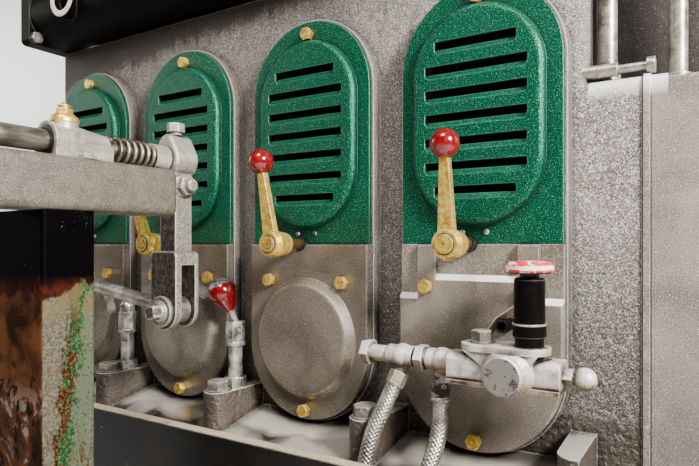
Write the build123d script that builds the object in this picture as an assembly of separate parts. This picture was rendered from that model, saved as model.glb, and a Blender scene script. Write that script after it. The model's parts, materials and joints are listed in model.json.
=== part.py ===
"""Four-cylinder marine diesel engine, seen from its hand-lever side, on its bed.

Millimetres, +Z up. X runs along the crankshaft with X = 0 at the middle of the
cylinder row, Y = 0 is the upright plane through the cylinders, the hand levers are
on the -Y side, and Z = 0 is the floor under the bed rails. A reach is measured
outward, towards -Y, and a rise upward.
"""

from build123d import *
import math
import os

os.makedirs("parts", exist_ok=True)

# How far joined shapes run into each other, and cuts run past a face
LAP = 1.0

# Cylinder row and block casting
CYLINDERS = 4
PITCH = 220.0
LEFT_END_MARGIN = 115.0
RIGHT_END_MARGIN = 107.0
BLOCK_HALF_WIDTH = 175.0
BLOCK_BASE_Z = 168.0
SEAM_Z = 430.0
DECK_RISE = 326.0
BLOCK_CORNER_R = 14.0
FOOT_END_MARGIN = 115.0
LOWER_EXTENSION = 48.5
SHELF_RISE = 157.0
SHELF_EDGE_R = 8.0

# Raised door pads on the casting
PAD_HEIGHT = 14.0
PAD_BORDER = 3.0
POCKET_DEPTH = 60.0
POCKET_EDGE = 26.0
POCKET_MARGIN = 4.0

# Upper louvred doors
UPPER_WIDTH = 176.0
UPPER_HEIGHT = 271.0
UPPER_SHEET = 4.6
PANEL_WIDTH = 143.5
PANEL_BOTTOM = 19.0
PANEL_TOP = 247.0
PANEL_RISE = 10.0
PANEL_WALL = 3.0
PANEL_EDGE_R = 7.0
LOUVRES = 7
LOUVRE_PITCH = 25.4
LOUVRE_FIRST = 55.0
LOUVRE_LONG = 111.0
LOUVRE_SHORT = 89.0
LOUVRE_ABOVE = 5.0
LOUVRE_BELOW = 8.5
LOUVRE_CORNER_R = 6.0
LIP_DEPTH = 5.0
LIP_RISE = 6.0
DOOR_GAP = 0.3

# Lower cast doors
LOWER_MARGIN = 1.0
LOWER_WIDTH = UPPER_WIDTH + 2 * LOWER_MARGIN
LOWER_HEIGHT = 213.0
LOWER_THICKNESS = 11.0
LOWER_EDGE_R = 2.5
DOME_BASE_R = 73.0
DOME_TOP_R = 66.0
DOME_RISE = 12.0
DOME_EDGE_R = 7.0
DOME_DROP = 114.0
STEP_DEPTH = 6.0
STEP_MIDDLE_DROP = 32.0
STEP_OUTER_DROP = 53.0
TAB_WIDTH = 21.0
TAB_OFFSET = 55.5

# Foot flange and foot bosses of the casting
FLANGE_REACH = 116.0
FLANGE_ROOT_Z = 218.0
FLANGE_EDGE_Z = 187.0
BOSS_TOP_Z = 247.0
BOSS_R = 17.0
BOSS_BOLT_REACH = 60.6
BOSS_ROOT_WIDTH = 38.0

# Bed rails and cross members
RAIL_WEB_GAP = 2.6
RAIL_WEB = 13.0
RAIL_TOP_Z = 223.0
RAIL_SEAT_WIDTH = 93.6
RAIL_FLANGE = 12.0
RAIL_FOOT_WIDTH = 73.6
RAIL_LEFT_REACH = 95.0
RAIL_RIGHT_REACH = 183.0
CROSS_GAP = 10.0
CROSS_WIDTH = 50.0
CROSS_HEIGHT = 80.0
CROSS_WALL = 8.0
FOUNDATION_HOLE_R = 9.0
FOUNDATION_X = 380.0
FOUNDATION_INSET = 37.6

# Sump
SUMP_END_MARGIN = 15.0
SUMP_TOP_HALF_WIDTH = 150.0
SUMP_FLOOR_HALF_WIDTH = 112.0
SUMP_FLOOR_Z = 42.0
SUMP_EDGE_R = 12.0
DRAIN_R = 14.0
DRAIN_LENGTH = 12.0

# Hand levers on the seam
LEVER_OFFSET_X = -8.0
LEVER_REACH = 56.2
HUB_LENGTH = 31.0
HUB_FRONT_R = 13.5
HUB_MIDDLE_R = 16.0
HUB_SHOULDER = 7.0
HUB_BACK_R = 13.0
HUB_BACK_CHAMFER = 3.0
HUB_DISC_R = 9.3
HUB_DISC_RISE = 1.2
SPINDLE_R = 6.0
SPINDLE_DEPTH = 26.0
SPINDLE_END_GAP = 2.0
RUNNING_GAP = 0.05
BUSH_R = 8.0
BUSH_PROUD = 2.0
BUSH_CLEARANCE = 0.3
ARM_ROOT_WIDTH = 18.0
ARM_TIP_WIDTH = 9.0
ARM_THICKNESS = 7.6
ARM_SET_BACK = 3.0
ARM_LENGTH = 82.0
ARM_OUTWARD_DEG = 3.5
KNOB_R = 14.5
KNOB_HEIGHT = 95.0
KNOB_STUD_R = 3.0
LEVER_LEANS = (6.0, 17.0, 7.0, 0.0)

# Cylinder heads and rocker covers
HEAD_LENGTH = 202.0
HEAD_HALF_WIDTH = 125.0
HEAD_HEIGHT = 88.0
HEAD_CORNER_R = 16.0
ROCKER_LENGTH = 158.0
ROCKER_HALF_WIDTH = 98.0
ROCKER_HEIGHT = 62.0
ROCKER_EDGE_R = 22.0
ROCKER_TOP_R = 11.0

# Exhaust manifold, just above the edge of the deck
MANIFOLD_R = 50.0
MANIFOLD_BORE_R = 38.0
MANIFOLD_REACH = 10.0
MANIFOLD_GAP = 2.0
MANIFOLD_LEFT_REACH = 10.0
MANIFOLD_RIGHT_MARGIN = 42.0
MANIFOLD_CLOSED = 20.0
MANIFOLD_FLANGE_HALF = 50.5
MANIFOLD_FLANGE = 24.0
MANIFOLD_FLANGE_CORNER_R = 8.0
MANIFOLD_HOLES = 4
MANIFOLD_PCD = 114.5
MANIFOLD_HOLE_R = 5.5
STUB_R = 30.0
STUB_FLANGE_WIDTH = 96.0
STUB_FLANGE_HEIGHT = 70.0
STUB_FLANGE = 8.0
PORT_R = 30.0
PORT_BORE_R = 20.0
PORT_REACH = 56.0
PORT_DEPTH = 9.0

# Timing case at the right end
CASE_LENGTH = 112.0
CASE_GASKET = 1.0
CASE_LIP = 6.0
CASE_LIP_RISE = 2.0
CASE_RIM = 20.0
CASE_DROP = 4.5
CASE_EDGE_R = 7.0
CASE_COVER_R = 135.0
CASE_COVER = 22.0
CASE_COVER_EDGE_R = 7.0
CASE_COVER_RISE = 6.0
CASE_HUB_R = 42.0
CASE_HUB = 14.0
UPPER_CASE_SET_BACK = 80.0
UPPER_CASE_END_MARGIN = 8.0
UPPER_CASE_GAP = 0.3
UPPER_CASE_CORNER_R = 6.0

# Tubes and stud in the corner above the timing case; each tube has its offset, inset and radius
TUBES = ((13.0, 29.0, 9.5), (75.0, 55.0, 9.0))
TUBE_TOP_RISE = 35.0
TUBE_FOOT_BORDER = 3.0
TUBE_FOOT = 10.0
STUD_R = 4.0
STUD_INSET = 8.0
STUD_RISE = 10.0
STUD_LENGTH = 52.0
STUD_COLLAR_R = 6.5
STUD_COLLAR = 26.0
STUD_HEAD_R = 7.5
STUD_ROOT = 12.0
STUD_HEAD = 7.0

# Flywheel housing and output flange at the left end
HOUSING_R = 198.0
HOUSING_LENGTH = 112.0
HOUSING_EDGE_R = 18.0
CRANK_Z = 306.0
OUTPUT_R = 92.0
OUTPUT_LENGTH = 26.0
OUTPUT_PCD = 146.0
OUTPUT_HOLES = 6
OUTPUT_HOLE_R = 6.5
OUTPUT_HOLE_FLOOR = 6.0

# Cocks on the foot bosses
COCK_REACH = 33.0
COCK_BODY_R = 9.0
COCK_BASE_AF = 24.0
COCK_BASE = 12.0
COCK_RING_R = 12.5
COCK_RING_RISE = 57.0
COCK_RING = 4.0
COCK_NUT_AF = 21.0
COCK_NUT = 26.0
COCK_CAP_R = 10.0
COCK_CAP = 17.0
COCK_OFFSET_X = 2.0
COCK_STEM_ROOT = 2.0
COCK_STEM_R = 4.0
COCK_TILT_DEG = -12.0
COCK_OUTWARD_DEG = 20.0
COCK_STEM_LENGTH = 16.0
COCK_KNOB_R = 18.0
COCK_KNOB_NECK_R = 6.0
COCK_KNOB_LENGTH = 44.0
COCK_KNOB_SLOPE_DEG = 23.0

# Fuel header with its priming pump; X is counted from the last cylinder
HEADER_DROP = 116.0
HEADER_PIPE_REACH = 26.0
HEADER_PIPE_R = 8.5
HEADER_LEFT = -116.0
HEADER_BODY_REACH = 42.0
HEADER_BODY_LEFT = -6.0
HEADER_BODY_RIGHT = 100.0
HEADER_BODY_WIDTH = 30.0
HEADER_BODY_HEIGHT = 28.0
HEADER_BODY_EDGE_R = 8.0
HEADER_STRIP = 4.0
HEADER_STRIP_PROUD = 1.5
TEES = (-70.0, -24.0)
TEE_BALL_R = 12.5
TEE_R = 10.8
TEE_LENGTH = 30.0
NUT_AF = 24.0
NUT_LENGTH = 9.0
PLUG = 53.0
PLUG_R = 18.0
PLUG_REACH = 30.0
PLUG_CHAMFER = 1.5
PLUG_BOSS_R = 25.0
PLUG_BOSS = 8.0
PUMP = 69.5
HEADER_BOLT = 24.0
HEADER_FLANGE_R = 19.0
HEADER_FLANGE = 6.0
HEADER_FLANGE_RISE = 24.0
HEADER_WEB_SPREAD = 12.0
HEADER_WEB_FOOT = 15.0
HEADER_WEB_THICKNESS = 17.0
HEADER_FOOT_WIDTH = 30.0
HEADER_FOOT_HEIGHT = 24.0
BARREL_R = 14.0
BARREL_FOOT_R = 13.0
BARREL_FOOT = 9.0
BARREL_RING_R = 14.9
BARREL_RING = 11.5
BARREL_HEIGHT = 62.0
BARREL_CHAMFER = 2.0
BARREL_BORE_R = 6.0
PLUNGER_R = 5.95
PLUNGER_DEPTH = 42.0
PLUNGER_END_GAP = 4.0
PLUNGER_NECK_R = 9.0
PLUNGER_NECK = 3.5
PLUNGER_LIFT = 0.4
DISC_R = 21.3
DISC_THICKNESS = 11.0
DISC_LOW_BEVEL = 2.0
DISC_BEVEL = 2.5
DISC_CROWN = 1.0
DISC_FLAT_R = 9.5
UNION_AF = 14.0
UNION_LENGTH = 8.0
OUTLET_NECK_R = 5.0
VALVE_R = 10.0
VALVE = 118.0

# Braided hoses: beyond the last cylinder, reach from the lower doors, rise from the flange's edge
HOSE_R = 8.5
HOSE_ARC_SHARE = 0.45
HOSE_LEFT_ROUTE = (
    (-76.0, 32.0, 98.0),
    (-84.0, 44.0, 71.0),
    (-91.0, 56.0, 47.0),
    (-92.0, 64.0, 19.0),
)
HOSE_RIGHT_ROUTE = (
    (-24.0, 30.0, 89.0),
    (-22.0, 34.0, 66.0),
    (-22.0, 48.0, 42.0),
    (-26.0, 62.0, 19.0),
)
NIPPLE_R = 7.0
NIPPLE_NUT = 13.0
NIPPLE_NUT_AF = 17.5
SOCKET_R = 11.5
SOCKET_LENGTH = 30.0

# Control pedestal, bar and shaft, set out from the middle plane of the clevis
CONTROL_REACH = 81.5
SHAFT_X = -21.0
SHAFT_RISE = 100.0
SHAFT_R = 11.0
SHAFT_OVERHANG = 76.0
SHAFT_TAIL = 5.0
LEVER_HUB_REACH = 15.5
LEVER_HUB_LENGTH = 30.0
LEVER_HUB_R = 21.0
LEVER_EDGE_R = 4.0
COLLAR_GAP = 1.5
COLLAR_LENGTH = 19.5
COLLAR_R = 15.0
SPRING_LENGTH = 56.0
SPRING_R = 15.5
SPRING_WIRE_R = 2.6
SPRING_TURNS = 6
SPRING_CREST = 0.4
SPRING_SEAT_GAP = 0.3
BEARING_LENGTH = 59.0
BEARING_NEAR_R = 18.5
BEARING_FAR_R = 13.8
BEARING_RIM = 3.0
BEARING_RIM_R = 20.0
BEARING_LUG_REACH = 31.0
BEARING_LUG_WIDTH = 15.0
BEARING_LUG_INSET = 21.0
BEARING_LUG = 5.0
CUP_INSET = 18.5
CUP_SEAT_R = 12.5
CUP_SEAT_RISE = 1.5
CUP_HEX_AF = 24.0
CUP_HEX = 10.0
CUP_R = 6.3
CUP_HEIGHT = 8.0
CUP_NIPPLE_R = 3.2
CUP_NIPPLE = 3.0
BAR_SETBACK = 23.5
BAR_LENGTH = 224.0
BAR_RIGHT = 35.0
BAR_WIDTH = 54.0
BAR_HEIGHT = 52.0
BAR_DROP = 16.0
BAR_EDGE_R = 8.0
POST_INSET = 5.0
POST_WIDTH = 86.0
POST_OVERHANG = 19.0
POST_DEPTH = 51.0
POST_CORNER_R = 4.0
POST_FOOT = 12.0
POST_FOOT_BORDER = 18.0
CLAMP_LUG_R = 12.0
CLAMP_LUG_CENTRE = 18.0
CONTROL_ARM_WIDTH = 27.0
CONTROL_ARM_THICKNESS = 23.0
ARM_DROP = 179.0
CLEVIS_RISE = 70.0
CLEVIS_HALF_WIDTH = 22.0
CLEVIS_CORNER_R = 6.0
CLEVIS_PROUD = 2.5
SLOT_RISE = 54.0
SLOT_WIDTH = 20.0
PIN_R = 8.0
PIN_HEAD_LENGTH = 14.5
PIN_WASHER_R = 18.0
PIN_WASHER = 4.0
PIN_NUT_AF = 19.0
PIN_NUT = 9.0
PIN_TAIL = 2.0

# Control rod and governor arm
ROD_R = 8.5
ROD_EYE_R = 15.5
ROD_EYE_GAP = 0.6
ROD_SLOPE = 0.149
ROD_TAIL_THICKNESS = 12.0
ROD_FLAT = 6.0
GOVERNOR_EYE_R = 14.0
GOVERNOR_ARM_THICKNESS = 10.0
GOVERNOR_ARM_WIDTH = 20.0
GOVERNOR_SIDE_GAP = 1.0
GOVERNOR_PIN_R = 6.0
GOVERNOR_PIN_GAP = 0.5
GOVERNOR_PIN_PROUD = 4.0
GOVERNOR_SHAFT_R = 9.0
GOVERNOR_SHAFT_INSET = 1.0
GOVERNOR_CAP = 0.5
GOVERNOR_BOSS_R = 18.0
GOVERNOR_BOSS = 52.0
GOVERNOR_HUB_R = 16.0
GOVERNOR_HUB = 18.0

# Places along X worked out from the driving dimensions
CENTRES = [PITCH * (i - (CYLINDERS - 1) / 2) for i in range(CYLINDERS)]
BOSS_XS = [PITCH * (i - CYLINDERS / 2) for i in range(CYLINDERS + 1)]
LAST_X = CENTRES[-1]
BLOCK_LEFT_X = CENTRES[0] - LEFT_END_MARGIN
BLOCK_RIGHT_X = LAST_X + RIGHT_END_MARGIN
SEAT_X = BLOCK_RIGHT_X + LOWER_EXTENSION
CASE_X = SEAT_X + CASE_GASKET
CASE_END_X = CASE_X + CASE_LENGTH
FOOT_RIGHT_X = LAST_X + FOOT_END_MARGIN
RAIL_LEFT_X = BLOCK_LEFT_X - RAIL_LEFT_REACH
RAIL_RIGHT_X = BLOCK_RIGHT_X + RAIL_RIGHT_REACH
LEVER_XS = [x + LEVER_OFFSET_X for x in CENTRES]
GOVERNOR_X = BOSS_XS[1]
BAR_RIGHT_X = SHAFT_X + BAR_RIGHT
POST_RIGHT_X = BAR_RIGHT_X - POST_INSET
PUMP_X = LAST_X + PUMP
PLUG_X = LAST_X + PLUG
HEADER_BODY_LEFT_X = LAST_X + HEADER_BODY_LEFT
HEADER_BODY_RIGHT_X = LAST_X + HEADER_BODY_RIGHT
HEADER_LEFT_X = LAST_X + HEADER_LEFT
VALVE_X = LAST_X + VALVE
HEADER_BOLT_X = LAST_X + HEADER_BOLT

# Places along Y
WALL_Y = -BLOCK_HALF_WIDTH
PAD_Y = WALL_Y - PAD_HEIGHT
COVER_Y = PAD_Y - UPPER_SHEET
PANEL_Y = COVER_Y - PANEL_RISE
LOWER_Y = PAD_Y - LOWER_THICKNESS
FLANGE_Y = WALL_Y - FLANGE_REACH
BOSS_BOLT_Y = WALL_Y - BOSS_BOLT_REACH
WEB_INNER_Y = FLANGE_Y - RAIL_WEB_GAP
WEB_OUTER_Y = WEB_INNER_Y - RAIL_WEB
LEVER_FRONT_Y = LOWER_Y - LEVER_REACH
HUB_BACK_Y = LEVER_FRONT_Y + HUB_LENGTH
BUSH_Y = LOWER_Y - BUSH_PROUD
MANIFOLD_Y = WALL_Y - MANIFOLD_REACH
COCK_Y = WALL_Y - COCK_REACH
HEADER_PIPE_Y = LOWER_Y - HEADER_PIPE_REACH
HEADER_BODY_Y = LOWER_Y - HEADER_BODY_REACH
CONTROL_Y = LOWER_Y - CONTROL_REACH
LEVER_HUB_NEAR_Y = CONTROL_Y - LEVER_HUB_REACH
LEVER_HUB_FAR_Y = LEVER_HUB_NEAR_Y + LEVER_HUB_LENGTH
CLEVIS_NEAR_Y = LEVER_HUB_NEAR_Y - CLEVIS_PROUD
SHAFT_END_Y = LEVER_HUB_FAR_Y + SHAFT_TAIL
COLLAR_FAR_Y = LEVER_HUB_NEAR_Y - COLLAR_GAP
COLLAR_NEAR_Y = COLLAR_FAR_Y - COLLAR_LENGTH
BEARING_FAR_Y = COLLAR_NEAR_Y - SPRING_LENGTH
BEARING_NEAR_Y = BEARING_FAR_Y - BEARING_LENGTH
SHAFT_NEAR_Y = BEARING_NEAR_Y - SHAFT_OVERHANG
CUP_Y = BEARING_NEAR_Y + CUP_INSET
BAR_END_Y = CONTROL_Y - BAR_SETBACK
BAR_NEAR_Y = BAR_END_Y - BAR_LENGTH
POST_NEAR_Y = BEARING_NEAR_Y - POST_OVERHANG
GOVERNOR_ARM_Y = CONTROL_Y + ROD_TAIL_THICKNESS / 2 + GOVERNOR_SIDE_GAP
GOVERNOR_SHAFT_END_Y = GOVERNOR_ARM_Y + GOVERNOR_SHAFT_INSET
FOUNDATION_Y = WEB_INNER_Y + FOUNDATION_INSET

# Places along Z
SHELF_Z = SEAM_Z + SHELF_RISE
DECK_Z = SEAM_Z + DECK_RISE
MANIFOLD_Z = DECK_Z + MANIFOLD_GAP + MANIFOLD_R
COCK_RING_Z = BOSS_TOP_Z + COCK_RING_RISE
HEADER_Z = SEAM_Z - HEADER_DROP
HEADER_FLANGE_TOP_Z = HEADER_Z + HEADER_FLANGE_RISE
BARREL_TOP_Z = HEADER_FLANGE_TOP_Z + BARREL_HEIGHT
SHAFT_Z = SEAM_Z + SHAFT_RISE
BAR_TOP_Z = SHAFT_Z - BAR_DROP
BAR_BOTTOM_Z = BAR_TOP_Z - BAR_HEIGHT
CUP_SEAT_Z = SHAFT_Z + BEARING_NEAR_R + CUP_SEAT_RISE
PIN_Z = SHAFT_Z - ARM_DROP
CLEVIS_TOP_Z = PIN_Z + CLEVIS_RISE
SLOT_TOP_Z = PIN_Z + SLOT_RISE
ROD_TAIL_Z = PIN_Z + ROD_SLOPE * (SHAFT_X - GOVERNOR_X)
GOVERNOR_Z = ROD_TAIL_Z + ARM_DROP


def span(x0, x1, y0, y1, z0, z1):
    """Box between two opposite corners."""
    middle = Pos((x0 + x1) / 2, (y0 + y1) / 2, (z0 + z1) / 2)
    return middle * Box(abs(x1 - x0), abs(y1 - y0), abs(z1 - z0))


def round_x(radius, x0, x1, y, z):
    """Cylinder along X."""
    return Pos((x0 + x1) / 2, y, z) * Rot(0, 90, 0) * Cylinder(radius, abs(x1 - x0))


def round_y(radius, y0, y1, x, z):
    """Cylinder along Y."""
    return Pos(x, (y0 + y1) / 2, z) * Rot(90, 0, 0) * Cylinder(radius, abs(y1 - y0))


def round_z(radius, z0, z1, x, y):
    """Cylinder along Z."""
    return Pos(x, y, (z0 + z1) / 2) * Cylinder(radius, abs(z1 - z0))


def hexagon(across_flats):
    """Hexagon face from its size across the flats."""
    return RegularPolygon(across_flats / math.sqrt(3), 6)


def hex_x(across_flats, x0, x1, y, z):
    """Hexagonal bar along X."""
    face = Plane.YZ.offset(x0) * (Pos(y, z) * hexagon(across_flats))
    return extrude(face, amount=x1 - x0)


def hex_z(across_flats, z0, z1, x, y):
    """Hexagonal bar along Z."""
    return extrude(Pos(x, y, z0) * hexagon(across_flats), amount=z1 - z0)


def from_front(face, y_back, thickness):
    """Solid from a face drawn in X and Z: its back at y_back, its front nearer the levers."""
    return extrude(Plane.XZ.offset(-y_back) * face, amount=thickness, dir=(0, -1, 0))


def along_x(points, x0, x1):
    """Prism along X from points given in Y and Z."""
    face = Plane.YZ.offset(x0) * Polygon(*points, align=None)
    return extrude(face, amount=x1 - x0, dir=(1, 0, 0))


def arch(width, z_flat, z_round):
    """Door outline in X and Z: straight at z_flat, with a half circle that reaches z_round."""
    radius = width / 2
    z_centre = z_round - math.copysign(radius, z_round - z_flat)
    straight = Pos(0, (z_flat + z_centre) / 2) * Rectangle(width, abs(z_centre - z_flat))
    return straight + Pos(0, z_centre) * Circle(radius)


def obround(width, z0, z1):
    """Upright outline in X and Z with two half-round ends."""
    return Pos(0, (z0 + z1) / 2) * SlotOverall(z1 - z0, width, rotation=90)


def pear(big_r, small_r, rise):
    """Outline of two circles, the small one above, joined by straight tangents."""
    sine = (big_r - small_r) / rise
    cosine = math.sqrt(1 - sine ** 2)
    flanks = Polygon(
        (-big_r * cosine, big_r * sine),
        (big_r * cosine, big_r * sine),
        (small_r * cosine, rise + small_r * sine),
        (-small_r * cosine, rise + small_r * sine),
        align=None,
    )
    return Circle(big_r) + flanks + Pos(0, rise) * Circle(small_r)


def turned_y(profile, x, z):
    """Turned piece about an axis along Y, from (radius, y) points."""
    face = Plane.XY * Polygon(*profile, align=None)
    return Pos(x, 0, z) * revolve(face, Axis.Y)


def turned_z(profile, x, y):
    """Turned piece about an axis along Z, from (radius, z) points."""
    face = Plane.XZ * Polygon(*profile, align=None)
    return Pos(x, y, 0) * revolve(face, Axis.Z)


def put(name, *solids):
    """Write one named piece, made of one or more solids."""
    shape = solids[0] if len(solids) == 1 else Compound(children=list(solids))
    export_step(shape, f"parts/{name}.step")


def foot_flange():
    """Sloping flange along the foot of the casting, on the lever side."""
    profile = (
        (WALL_Y + LAP, BLOCK_BASE_Z),
        (FLANGE_Y, BLOCK_BASE_Z),
        (FLANGE_Y, FLANGE_EDGE_Z),
        (WALL_Y + LAP, FLANGE_ROOT_Z),
    )
    return along_x(profile, BLOCK_LEFT_X, FOOT_RIGHT_X)


def foot_boss(x):
    """Foot boss: round in front around its bolt, wider where it runs back to the wall."""
    front = Pos(x, BOSS_BOLT_Y) * Circle(BOSS_R)
    half = BOSS_ROOT_WIDTH / 2
    flanks = Polygon(
        (x - BOSS_R, BOSS_BOLT_Y),
        (x + BOSS_R, BOSS_BOLT_Y),
        (x + half, PAD_Y),
        (x + half, WALL_Y + LAP),
        (x - half, WALL_Y + LAP),
        (x - half, PAD_Y),
        align=None,
    )
    return extrude(Pos(0, 0, BLOCK_BASE_Z) * (front + flanks), amount=BOSS_TOP_Z - BLOCK_BASE_Z)


def foot_side():
    """Flange and bosses of one side; the end bosses are cut flush with the foot."""
    side = foot_flange()
    for x in BOSS_XS:
        side += foot_boss(x)
    return side & span(BLOCK_LEFT_X, FOOT_RIGHT_X, FLANGE_Y, 0, BLOCK_BASE_Z, BOSS_TOP_Z)


def door_pads():
    """Raised pads that the doors are bolted to."""
    width = UPPER_WIDTH + 2 * PAD_BORDER
    pad = arch(width, SEAM_Z, SEAM_Z + UPPER_HEIGHT + PAD_BORDER)
    pad += arch(width, SEAM_Z, SEAM_Z - LOWER_HEIGHT - PAD_BORDER)
    return [from_front(Pos(x, 0) * pad, WALL_Y + LAP, PAD_HEIGHT + LAP) for x in CENTRES]


def door_pockets():
    """Openings behind the upper doors."""
    opening = obround(
        UPPER_WIDTH - 2 * POCKET_EDGE,
        SEAM_Z + PANEL_BOTTOM + PANEL_WALL + POCKET_MARGIN,
        SEAM_Z + PANEL_TOP - PANEL_WALL - POCKET_MARGIN,
    )
    return [from_front(Pos(x, 0) * opening, PAD_Y + POCKET_DEPTH, POCKET_DEPTH + LAP) for x in CENTRES]


def shelf_section(x0, x1, rise):
    """Length of the low right end, raised all round by rise, its two long top edges rounded."""
    reach = BLOCK_HALF_WIDTH + rise
    piece = span(x0, x1, -reach, reach, BLOCK_BASE_Z, SHELF_Z + rise)
    return fillet(piece.edges().filter_by(Axis.X).group_by(Axis.Z)[-1], SHELF_EDGE_R + rise)


def engine_block():
    """The casting: walls, pads, lever bushes, foot flanges and the low right end."""
    body = span(BLOCK_LEFT_X, BLOCK_RIGHT_X, WALL_Y, -WALL_Y, BLOCK_BASE_Z, DECK_Z)
    body = fillet(body.edges().filter_by(Axis.Z), BLOCK_CORNER_R)
    body += shelf_section(BLOCK_RIGHT_X - BLOCK_CORNER_R, SEAT_X, 0)
    side = foot_side()
    body += side
    body += mirror(side, about=Plane.XZ)
    for pad in door_pads():
        body += pad
        body += mirror(pad, about=Plane.XZ)
    for pocket in door_pockets():
        body -= pocket
    bore_end_y = BUSH_Y + SPINDLE_DEPTH + SPINDLE_END_GAP
    for x in LEVER_XS:
        body += round_y(BUSH_R, WALL_Y, BUSH_Y, x, SEAM_Z)
        body -= round_y(SPINDLE_R + RUNNING_GAP, BUSH_Y - LAP, bore_end_y, x, SEAM_Z)
    body += round_y(GOVERNOR_BOSS_R, WALL_Y, WALL_Y - GOVERNOR_BOSS, GOVERNOR_X, GOVERNOR_Z)
    return body + round_y(GOVERNOR_SHAFT_R, WALL_Y, GOVERNOR_SHAFT_END_Y, GOVERNOR_X, GOVERNOR_Z)


def louvre_outline(length, z_centre):
    """Opening of one louvre: straight sharp top edge, round lower corners."""
    height = LOUVRE_ABOVE + LOUVRE_BELOW
    face = Pos(0, z_centre + (LOUVRE_ABOVE - LOUVRE_BELOW) / 2) * Rectangle(length, height)
    return fillet(face.vertices().sort_by(Axis.Y)[:2], LOUVRE_CORNER_R)


def louvre_lip(length, z_centre):
    """Lip turned in from the lower edge of a louvre, with the louvre's round ends."""
    z_edge = z_centre - LOUVRE_BELOW
    profile = (
        (PANEL_Y, z_edge),
        (PANEL_Y + LIP_DEPTH, z_edge + LIP_RISE),
        (PANEL_Y + LIP_DEPTH, z_edge + LIP_RISE - PANEL_WALL),
        (PANEL_Y + PANEL_WALL, z_edge),
    )
    strip = along_x(profile, -length / 2, length / 2)
    return strip & from_front(louvre_outline(length, z_centre), PANEL_Y + LIP_DEPTH, LIP_DEPTH)


def pressed_panel():
    """Raised obround of an upper door, hollow behind."""
    outline = obround(PANEL_WIDTH, SEAM_Z + PANEL_BOTTOM, SEAM_Z + PANEL_TOP)
    outer = from_front(outline, PAD_Y, PAD_Y - PANEL_Y)
    return fillet(outer.faces().sort_by(Axis.Y)[0].edges(), PANEL_EDGE_R)


def panel_hollow():
    """Hollow behind the raised obround."""
    outline = obround(
        PANEL_WIDTH - 2 * PANEL_WALL,
        SEAM_Z + PANEL_BOTTOM + PANEL_WALL,
        SEAM_Z + PANEL_TOP - PANEL_WALL,
    )
    inner = from_front(outline, PAD_Y + LAP, PAD_Y + LAP - PANEL_Y - PANEL_WALL)
    return fillet(inner.faces().sort_by(Axis.Y)[0].edges(), PANEL_EDGE_R - PANEL_WALL)


def bush_notch():
    """Round space that the upper and lower doors leave for a lever bush."""
    return round_y(BUSH_R + BUSH_CLEARANCE, PAD_Y + LAP, LOWER_Y - LAP, LEVER_OFFSET_X, SEAM_Z)


def upper_door(louvred):
    """Pressed upper door about X = 0; the louvred ones leave room for a lever bush."""
    outline = arch(UPPER_WIDTH, SEAM_Z + DOOR_GAP, SEAM_Z + UPPER_HEIGHT)
    door = from_front(outline, PAD_Y, UPPER_SHEET) + pressed_panel() - panel_hollow()
    if not louvred:
        return door
    door -= bush_notch()
    for i in range(LOUVRES):
        length = LOUVRE_SHORT if i in (0, LOUVRES - 1) else LOUVRE_LONG
        opening = louvre_outline(length, SEAM_Z + LOUVRE_FIRST + i * LOUVRE_PITCH)
        door -= from_front(opening, PANEL_Y + PANEL_WALL + LAP, PANEL_WALL + 2 * LAP)
        door += louvre_lip(length, SEAM_Z + LOUVRE_FIRST + i * LOUVRE_PITCH)
    return door


def lower_plate():
    """Flat cast plate of a lower door about X = 0."""
    outline = arch(LOWER_WIDTH, SEAM_Z - DOOR_GAP, SEAM_Z - LOWER_HEIGHT)
    plate = from_front(outline, PAD_Y, LOWER_THICKNESS)
    return fillet(plate.faces().sort_by(Axis.Y)[0].edges(), LOWER_EDGE_R)


def domed_door():
    """Lower door with its round raised dome."""
    dome = Rot(90, 0, 0) * Cone(DOME_BASE_R, DOME_TOP_R, DOME_RISE)
    dome = Pos(0, LOWER_Y - DOME_RISE / 2, SEAM_Z - DOME_DROP) * dome
    dome = fillet(dome.faces().sort_by(Axis.Y)[0].edges(), DOME_EDGE_R)
    return lower_plate() + dome


def stepped_door():
    """Flat lower door, set back in steps at its top between and beside two tabs."""
    tab_in = TAB_OFFSET - TAB_WIDTH / 2
    tab_out = TAB_OFFSET + TAB_WIDTH / 2
    door = lower_plate()
    spans = (
        (-tab_in, tab_in, STEP_MIDDLE_DROP),
        (-LOWER_WIDTH, -tab_out, STEP_OUTER_DROP),
        (tab_out, LOWER_WIDTH, STEP_OUTER_DROP),
    )
    for x0, x1, drop in spans:
        profile = (
            (LOWER_Y - LAP, SEAM_Z + LAP),
            (LOWER_Y + STEP_DEPTH, SEAM_Z + LAP),
            (LOWER_Y + STEP_DEPTH, SEAM_Z - drop),
            (LOWER_Y, SEAM_Z - drop - STEP_DEPTH),
            (LOWER_Y - LAP, SEAM_Z - drop - STEP_DEPTH),
        )
        door -= along_x(profile, x0, x1)
    return door - bush_notch()


def lever_arm():
    """Flat tapering arm about X = 0, Z = 0, standing up and leaning a little outward."""
    outline = Polygon(
        (-ARM_ROOT_WIDTH / 2, 0),
        (ARM_ROOT_WIDTH / 2, 0),
        (ARM_TIP_WIDTH / 2, ARM_LENGTH),
        (-ARM_TIP_WIDTH / 2, ARM_LENGTH),
        align=None,
    )
    arm = from_front(outline, ARM_THICKNESS / 2, ARM_THICKNESS)
    arm += round_z(KNOB_STUD_R, ARM_LENGTH - LAP, KNOB_HEIGHT, 0, 0)
    return Rot(ARM_OUTWARD_DEG, 0, 0) * arm


def lever_middle_y():
    """Middle of the arm's thickness at the hub."""
    return LEVER_FRONT_Y + ARM_SET_BACK + ARM_THICKNESS / 2


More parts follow.
